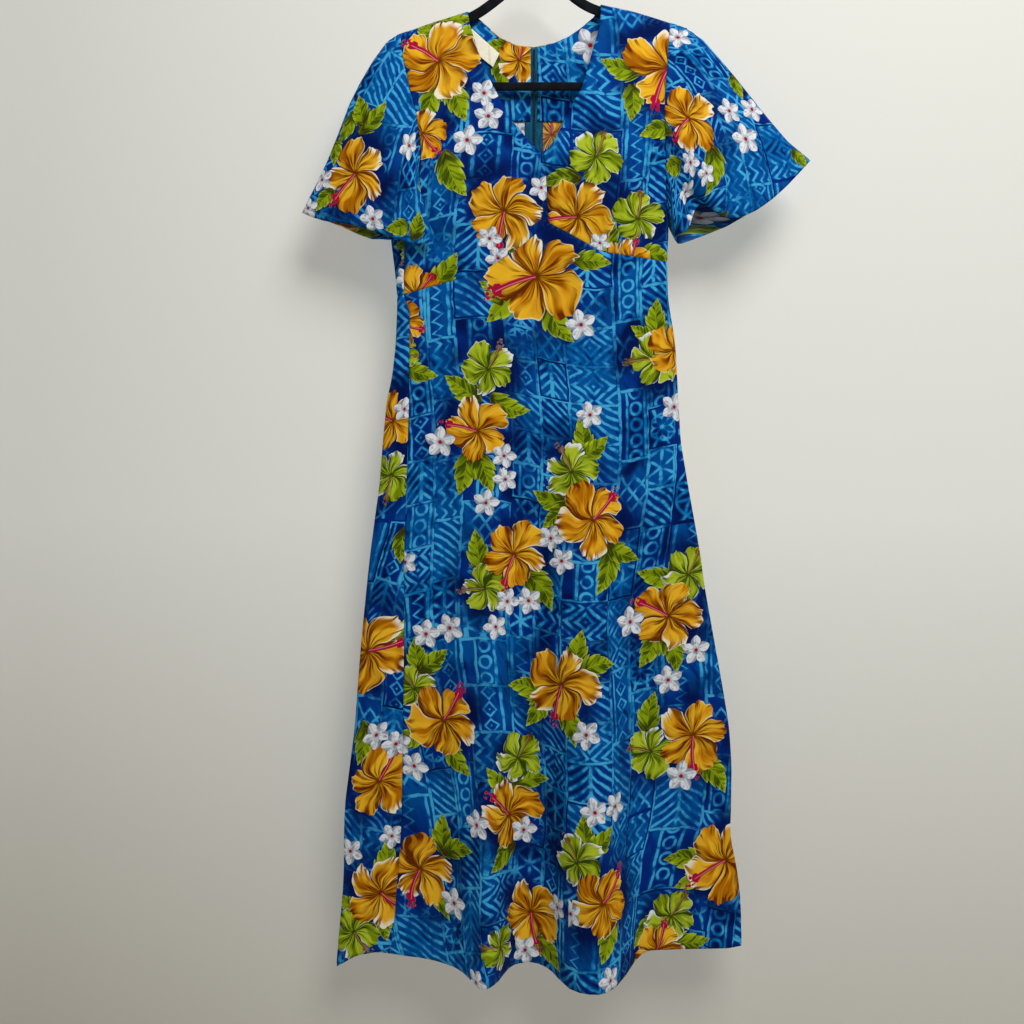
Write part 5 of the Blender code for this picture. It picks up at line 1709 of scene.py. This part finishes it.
skirtFront = makePanel(
    "skirtFront", "skirt_front",
    skirtGrid(
        (lambda d: leftSeam(d, gap), frontLine, lambda d: rightSeam(d, -gap)),
        (front, front),
    ),
    frontPrint["skirtFront"], front, turnUp=clothForm["hemTurn"],
)
skirtBackRight = makePanel(
    "skirtBackRight", "skirt_back_right",
    skirtGrid((lambda d: rightSeam(d, gap), lambda d: backSeam(d, gap)), (back,)),
    None, back, mirror=-1, turnUp=clothForm["hemTurn"],
)
skirtBackLeft = makePanel(
    "skirtBackLeft", "skirt_back_left",
    skirtGrid((lambda d: backSeam(d, -gap), lambda d: leftSeam(d, -gap) + 2 * math.pi), (back,)),
    frontPrint["skirtBackLeft"], 0, mirror=-1, turnUp=clothForm["hemTurn"], goesRound=True,
)
print("skirt made")


def makeSleeve(name, node, points, chart, left):
    # the grid opens at the underarm seam, and runs to the right as seen from outside
    count = points.shape[1]
    normals = gridNormal(points) * (1 if left else -1)
    order = (np.arange(count + 1) + count // 2) % count
    if not left:
        order = order[::-1]
    points, normals = points[:, order], normals[:, order]
    grain = count // 2 + count // 4 if left else count // 4
    flat = flatPlaces(points, grain, 0, 1, ([0, 1, 2], [0, 1, 2]))
    points = seamDip(points, normals)
    panels[name] = (points, normals, flat)
    return makeCloth(name, node, points, normals, flat, chart, clothForm["cuffTurn"], insidePrint[name], True)


sleeveLeft = makeSleeve(
    "sleeveLeft", "sleeve_left",
    sleevePoints(frontArmholeLeft, backArmholeLeft, cuffLeft, topLeft, sleeveLeftCreases, True),
    frontPrint["sleeveLeft"], True,
)
sleeveRight = makeSleeve(
    "sleeveRight", "sleeve_right",
    sleevePoints(frontArmholeRight, backArmholeRight, cuffRight, topRight, sleeveRightCreases, False),
    frontPrint["sleeveRight"], False,
)
print("sleeves made")


# The layers inside the back: depths and walls in metres, the rest in photo steps
layerForm = {
    "tapeInside": 0.0012,
    "facingInside": 0.0021,
    "labelInside": 0.0031,
    "tapeWall": 0.0005,
    "facingWall": 0.0004,
    "labelWall": 0.0004,
    "tapeWide": 8.62,
    "tapeNarrow": 3.0,           # under the facing, at the neck
    "tapeApart": 0.35,           # from the middle to each tape's edge
    "tapeTop": 48.5,
    "tapeLow": 393.3,
    "facingLow": 122.0,
    "facingSpread": 22.0,
    "facingApart": 3.4,
    "facingTop": 0.4,            # below the neck's own edge
    "facingEdge": 0.0007,        # its depth at the neck, in metres
    "facingEase": 0.16,          # the share of its height in which it comes to its full depth
    "labelBow": 0.0006,
}


def insideBack(across, down, depth):
    # a grid on the inside of the back: rows down, columns to the right as the camera sees it
    angle = ringAngle(across, down, -1)
    out = bodyNormal(angle, down)
    return bodyPoint(angle, down) - out * depth[..., None], -out


def makeFacing(name, node, neck, left, chart):
    sign = -1 if left else 1
    s = np.linspace(0, 1, 33)[None, :]
    v = np.linspace(0, 1, 41)[:, None] ** 1.2
    order = np.argsort(neck["across"])
    inner = seamEnds["zip"] + sign * layerForm["facingApart"]
    top = neck["across"][0] + s * (inner - neck["across"][0])
    topDown = np.interp(top, neck["across"][order], neck["down"][order]) + layerForm["facingTop"]
    lowStart = neck["across"][0] + sign * layerForm["facingSpread"]
    low = lowStart + s * (inner - lowStart)
    across = top + v * (low - top)
    down = np.maximum(topDown + v * (layerForm["facingLow"] - topDown), shoulderDown(across) + 6 + v * 3)
    ease = np.clip(v / layerForm["facingEase"], 0, 1)
    edge = layerForm["facingEdge"]
    depth = edge + (layerForm["facingInside"] - edge) * ease * ease * (3 - 2 * ease) + 0 * across
    points, normals = insideBack(across, down, depth)
    if not left:
        points, normals = points[:, ::-1], normals[:, ::-1]
    flat = flatPlaces(points, 16, 0, 1)
    panels[name] = (points, normals, flat)
    return makeCloth(name, node, points, normals, flat, chart, wall=layerForm["facingWall"])


facingLeft = makeFacing(
    "neckFacingLeft", "neck_facing_left", backNeckLeft, True, insidePrint["facingLeft"],
)
facingRight = makeFacing(
    "neckFacingRight", "neck_facing_right", backNeckRight, False, insidePrint["facingRight"],
)


def makeStrip(name, node, slotName, made, across, down, depth, wall):
    points, normals = insideBack(across, down, depth + 0 * across)
    flat = flatPlaces(points, 0, 0, 1)
    panels[name] = (points, normals, flat)
    thing = shell(name, points, normals, wall, np.zeros(points.shape[0]), (0, 0))
    thing.data.materials.append(made)
    cloth = thing.data.attributes.new("cloth", "FLOAT_VECTOR", "POINT")
    places = np.tile(flat.reshape(-1, 2), (2, 1))
    cloth.data.foreach_set("vector", np.column_stack([places, np.zeros(len(places))]).ravel())
    return keep(thing, slotName, node)


def makeTape(name, node, sign):
    s = np.linspace(0, 1, 9)[None, :]
    v = np.linspace(0, 1, 161)[:, None]
    if sign < 0:
        s = 1 - s
    # the facing covers the tape's outer edge at the neck
    form, narrow = layerForm, layerForm["tapeNarrow"]
    wide = narrow + (form["tapeWide"] - narrow) * np.clip(v * 40 - 0.6, 0, 1)
    across = seamEnds["zip"] + sign * (form["tapeApart"] + s * wide)
    down = form["tapeTop"] + v * (form["tapeLow"] - form["tapeTop"]) + 0 * s
    depth, wall = form["tapeInside"], form["tapeWall"]
    return makeStrip(name, node, "zip_tape_teal", tapeCloth, across, down, depth, wall)


tapeLeft = makeTape("zipTapeLeft", "zip_tape_left", -1)
tapeRight = makeTape("zipTapeRight", "zip_tape_right", 1)

labelCorners = np.array([(472, 29.5), (499.5, 55), (493, 68.5), (460, 42)], float)
# Each fold's height in metres, how far it leans, where it starts along the label and its width
labelFolds = ((0.0010, 0.16, 0.72, 0.05), (0.0008, -0.30, 0.60, 0.04))


def labelPlace(s, v):
    # s runs along the label and v across it. It is sewn down at its ends, stands a hair off the
    # facing between them, and its free end is folded over twice
    upper = labelCorners[0] + s[..., None] * (labelCorners[1] - labelCorners[0])
    lower = labelCorners[3] + s[..., None] * (labelCorners[2] - labelCorners[3])
    spot = upper + v[..., None] * (lower - upper)
    bow = np.sin(s * math.pi) ** 0.8 * layerForm["labelBow"] * v
    folds = sum(
        high * np.clip((s + v * lean - start) / wide, 0, 1) for high, lean, start, wide in labelFolds
    )
    return spot[..., 0], spot[..., 1], layerForm["labelInside"] + bow + folds


def makeLabel():
    across, down, depth = labelPlace(np.linspace(0, 1, 41)[None, :], np.linspace(0, 1, 25)[:, None])
    wall = layerForm["labelWall"]
    return makeStrip("neckLabel", "neck_label", "label_cream", labelCloth, across, down, depth, wall)


neckLabel = makeLabel()
print("facings, zip tapes and label made")


class Plan:
    # a Geometry Nodes tree, with short ways to add its inputs, nodes and links
    def __init__(self, name, inputs):
        self.tree = bpy.data.node_groups.new(name, "GeometryNodeTree")
        face = self.tree.interface
        face.new_socket("Path", in_out="INPUT", socket_type="NodeSocketGeometry")
        for label, kind, value in inputs:
            socket = face.new_socket(label, in_out="INPUT", socket_type="NodeSocket" + kind)
            if value is not None:
                socket.default_value = value
        face.new_socket("Result", in_out="OUTPUT", socket_type="NodeSocketGeometry")
        self.given = self.tree.nodes.new("NodeGroupInput")

    def add(self, kind, **values):
        node = self.tree.nodes.new(kind)
        for label, value in values.items():
            if hasattr(node, label):
                setattr(node, label, value)
                continue
            socket = next(s for s in node.inputs if s.name.replace(" ", "") == label and s.enabled)
            if isinstance(value, bpy.types.NodeSocket):
                self.tree.links.new(value, socket)
            else:
                socket.default_value = value
        return node

    def maths(self, operation, *values):
        node = self.add("ShaderNodeMath", operation=operation)
        for socket, value in zip(node.inputs, values):
            if isinstance(value, float):
                socket.default_value = value
            else:
                self.tree.links.new(value, socket)
        return node.outputs[0]

    def alongCurve(self):
        # points at the pitch along the path, with each point's direction
        curve = self.add("GeometryNodeMeshToCurve", Mesh=self.want("Path"))
        pitch = self.want("Pitch")
        return self.add("GeometryNodeCurveToPoints", mode="LENGTH", Curve=curve.outputs[0], Length=pitch)

    def want(self, label):
        return self.given.outputs[label]

    def end(self, geometry, material):
        real = self.add("GeometryNodeRealizeInstances", Geometry=geometry)
        smooth = self.add("GeometryNodeSetShadeSmooth", Geometry=real.outputs[0])
        coat = self.add("GeometryNodeSetMaterial", Geometry=smooth.outputs[0], Material=material)
        result = self.tree.nodes.new("NodeGroupOutput")
        self.tree.links.new(coat.outputs[0], result.inputs[0])
        return self.tree


def stitchPlan():
    # small rounded stitches, evenly along a path, each a little different
    plan = Plan("stitchRow", (
        ("Pitch", "Float", 0.0028), ("Stitch length", "Float", 0.0020), ("Thickness", "Float", 0.0005),
        ("Unevenness", "Float", 0.12), ("Seed", "Int", 1), ("Thread", "Material", None),
    ))
    points = plan.alongCurve()
    bead = plan.add("GeometryNodeMeshUVSphere", Segments=7, Rings=5, Radius=0.5)
    turn = plan.add("FunctionNodeAlignRotationToVector", axis="X", Vector=points.outputs["Tangent"])
    least = plan.maths("SUBTRACT", 1.0, plan.want("Unevenness"))
    luck = plan.add("FunctionNodeRandomValue", data_type="FLOAT", Min=least, Max=1.0, Seed=plan.want("Seed"))
    length = plan.maths("MULTIPLY", plan.want("Stitch length"), luck.outputs[1])
    thick = plan.want("Thickness")
    size = plan.add("ShaderNodeCombineXYZ", X=length, Y=thick, Z=thick)
    beads = plan.add(
        "GeometryNodeInstanceOnPoints", Points=points.outputs["Points"], Instance=bead.outputs[0],
        Rotation=turn.outputs[0], Scale=size.outputs[0],
    )
    return plan.end(beads.outputs[0], plan.want("Thread"))


def coilPlan():
    # the zip's coil: one flat wire loop after another down the path
    plan = Plan("zipCoil", (
        ("Pitch", "Float", 0.0012), ("Loop width", "Float", 0.0034), ("Loop depth", "Float", 0.0010),
        ("Wire", "Float", 0.0006), ("Seed", "Int", 1), ("Plastic", "Material", None),
    ))
    points = plan.alongCurve()
    size = plan.add("ShaderNodeCombineXYZ", X=plan.want("Loop width"), Y=plan.want("Loop depth"), Z=1.0)
    ring = plan.add("GeometryNodeCurvePrimitiveCircle", Resolution=9, Radius=0.5)
    flat = plan.add("GeometryNodeTransform", Geometry=ring.outputs[0], Scale=size.outputs[0])
    half = plan.maths("MULTIPLY", plan.want("Wire"), 0.5)
    profile = plan.add("GeometryNodeCurvePrimitiveCircle", Resolution=4, Radius=half)
    wire = plan.add("GeometryNodeCurveToMesh", Curve=flat.outputs[0])
    plan.tree.links.new(profile.outputs[0], wire.inputs[1])
    turn = plan.add("FunctionNodeAlignRotationToVector", axis="Z", Vector=points.outputs["Tangent"])
    loops = plan.add(
        "GeometryNodeInstanceOnPoints", Points=points.outputs["Points"], Instance=wire.outputs[0],
        Rotation=turn.outputs[0],
    )
    return plan.end(loops.outputs[0], plan.want("Plastic"))


def becomePlain(thing):
    # what the modifiers make of it, as a mesh of its own
    graph = bpy.context.evaluated_depsgraph_get()
    made = bpy.data.meshes.new_from_object(thing.evaluated_get(graph))
    thing.modifiers.clear()
    thing.data = made
    made.name = thing.name


def alongPath(name, path, plan, values, slotName):
    # runs a plan along a path of points, and keeps what it makes as a plain mesh
    mesh = bpy.data.meshes.new(name + "Path")
    mesh.from_pydata([tuple(p) for p in path], [(i, i + 1) for i in range(len(path) - 1)], [])
    thing = putIn(name, mesh)
    runs = thing.modifiers.new("runs", "NODES")
    runs.node_group = plan
    for item in plan.interface.items_tree:
        if item.item_type == "SOCKET" and item.in_out == "INPUT" and item.name in values:
            runs[item.identifier] = values[item.name]
    becomePlain(thing)
    return keep(thing, slotName)


stitchRow = stitchPlan()
zipCoilRow = coilPlan()

stitchLook = {
    "hemPitch": 0.0085, "hemStitch": 0.0011,
    "cuffPitch": 0.0029, "cuffStitch": 0.0022,
    "tapePitch": 0.0032, "tapeStitch": 0.0024,
    "labelPitch": 0.0022, "labelStitch": 0.0016,
    "thread": 0.00042,
}


def rowOf(name, back):
    # the line along a panel that stays that far from its last row, a hair off the cloth
    points, normals, _ = panels[name]
    toEdge = toLastRow(points)
    off = clothForm["wall"] / 2 + stitchLook["thread"] * 0.15
    line = []
    for j in range(points.shape[1]):
        order = np.argsort(toEdge[:, j])
        spot = [np.interp(back, toEdge[order, j], points[order, j, k]) for k in range(3)]
        out = [np.interp(back, toEdge[order, j], normals[order, j, k]) for k in range(3)]
        line.append(np.array(spot) + np.array(out) * off)
    return np.array(line)


def sew(name, path, kind, thread=None, seed=3):
    values = {
        "Pitch": stitchLook[kind + "Pitch"],
        "Stitch length": stitchLook[kind + "Stitch"],
        "Thickness": stitchLook["thread"],
        "Seed": seed,
        "Thread": thread or blueThread,
    }
    return alongPath(name, path, stitchRow, values, "printed_cloth")


for kind, start, pieces in (
    ("Hem", 1, (skirtFront, skirtBackRight, skirtBackLeft)), ("Cuff", 5, (sleeveLeft, sleeveRight)),
):
    for n, piece in enumerate(pieces):
        path = rowOf(piece.name, clothForm[kind.lower() + "Turn"])
        label = piece.name + kind + "Stitches"
        sew(label, path, kind.lower(), seed=n + start)


# The zip's rows down the back. Across and down are photo steps, the rest is in metres
zipForm = {
    "top": 50.0,
    "inner": 2.6,                # how far each tape's two rows of stitches are from the middle
    "outer": 8.0,
    "outerTop": 124.0,           # the outer rows start below the facings
    "coilOut": 0.00078,          # how far the coil and the stitches stand inside the tape
    "stitchOut": 0.00032,
    "coil": {"Pitch": 0.00125, "Loop width": 0.0036, "Loop depth": 0.0011},
}


def insideLine(across, down, depth):
    return insideBack(np.array(across, float), np.array(down, float), np.full(len(across), depth))[0]


def downBack(away, top, low, count, out):
    down = np.linspace(top, layerForm["tapeLow"] - low, count)
    return insideLine(np.full(count, seamEnds["zip"] + away), down, layerForm["tapeInside"] + out)


def makeZip():
    path = downBack(0.0, zipForm["top"], 2, 240, zipForm["coilOut"])
    alongPath("zipCoil", path, zipCoilRow, {**zipForm["coil"], "Plastic": coilPlastic}, "zip_tape_teal")
    rows = ((zipForm["inner"], zipForm["top"]), (zipForm["outer"], zipForm["outerTop"]))
    for side, name in ((-1, "Left"), (1, "Right")):
        for n, (away, top) in enumerate(rows):
            path = downBack(side * away, top, 3, 160, zipForm["stitchOut"])
            sew("zipTape%sStitches%d" % (name, n + 1), path, "tape", seed=n + 9)


def makeLabelStitches():
    rows = []
    for n, s in enumerate((0.045, 0.955)):
        v = np.linspace(0.06, 0.94, 12)
        across, down, depth = labelPlace(np.full(len(v), s), v)
        path = insideLine(across, down, depth + 0.0003)
        rows.append(sew("labelStitches%d" % (n + 1), path, "label", creamThread, seed=n + 20))
    return rows


makeZip()
labelRows = makeLabelStitches()
print("stitches and zip coil made")


def smoothCopy(name, nodes, made, slotName, levels):
    # one smooth piece from CAD nodes, whose facets are joined and rounded
    bm = bmesh.new()
    for node in nodes:
        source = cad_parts[node]
        bm.from_mesh(source.data)
    bmesh.ops.remove_doubles(bm, verts=bm.verts, dist=1e-5)
    bmesh.ops.join_triangles(
        bm, faces=bm.faces, angle_face_threshold=0.6, angle_shape_threshold=1.2, cmp_seam=False,
        cmp_sharp=False, cmp_uvs=False, cmp_vcols=False, cmp_materials=False,
    )
    bmesh.ops.recalc_face_normals(bm, faces=bm.faces)
    mesh = bpy.data.meshes.new(name)
    bm.to_mesh(mesh)
    bm.free()
    thing = putIn(name, mesh)
    smooth = thing.modifiers.new("smooth", "SUBSURF")
    smooth.levels = smooth.render_levels = levels
    becomePlain(thing)
    mesh = thing.data
    mesh.materials.clear()
    mesh.materials.append(made)
    mesh.polygons.foreach_set("use_smooth", [True] * len(mesh.polygons))
    return keep(thing, slotName, *nodes)


hangerNodes = ["hanger_arm_left", "hanger_arm_right", "hanger_bar"]
smoothCopy("hangerBody", hangerNodes, velvet, "velvet_black", 2)
smoothCopy("hangerHook", ["hanger_hook"], hookSteel, "hook_steel", 2)
smoothCopy("zipSlider", ["zip_slider"], zipMetal, "zip_metal", 1)
print("hanger and slider made")

for piece in (bodiceFrontLeft, bodiceFrontRight, bodiceBackLeft, bodiceBackRight):
    declare(piece)
declare(facingLeft)
declare(facingRight)
declare(skirtFront)
declare(skirtBackLeft)
declare(skirtBackRight)
declare(sleeveLeft)
declare(sleeveRight)
declare(tapeLeft)
declare(tapeRight)
declare(neckLabel)
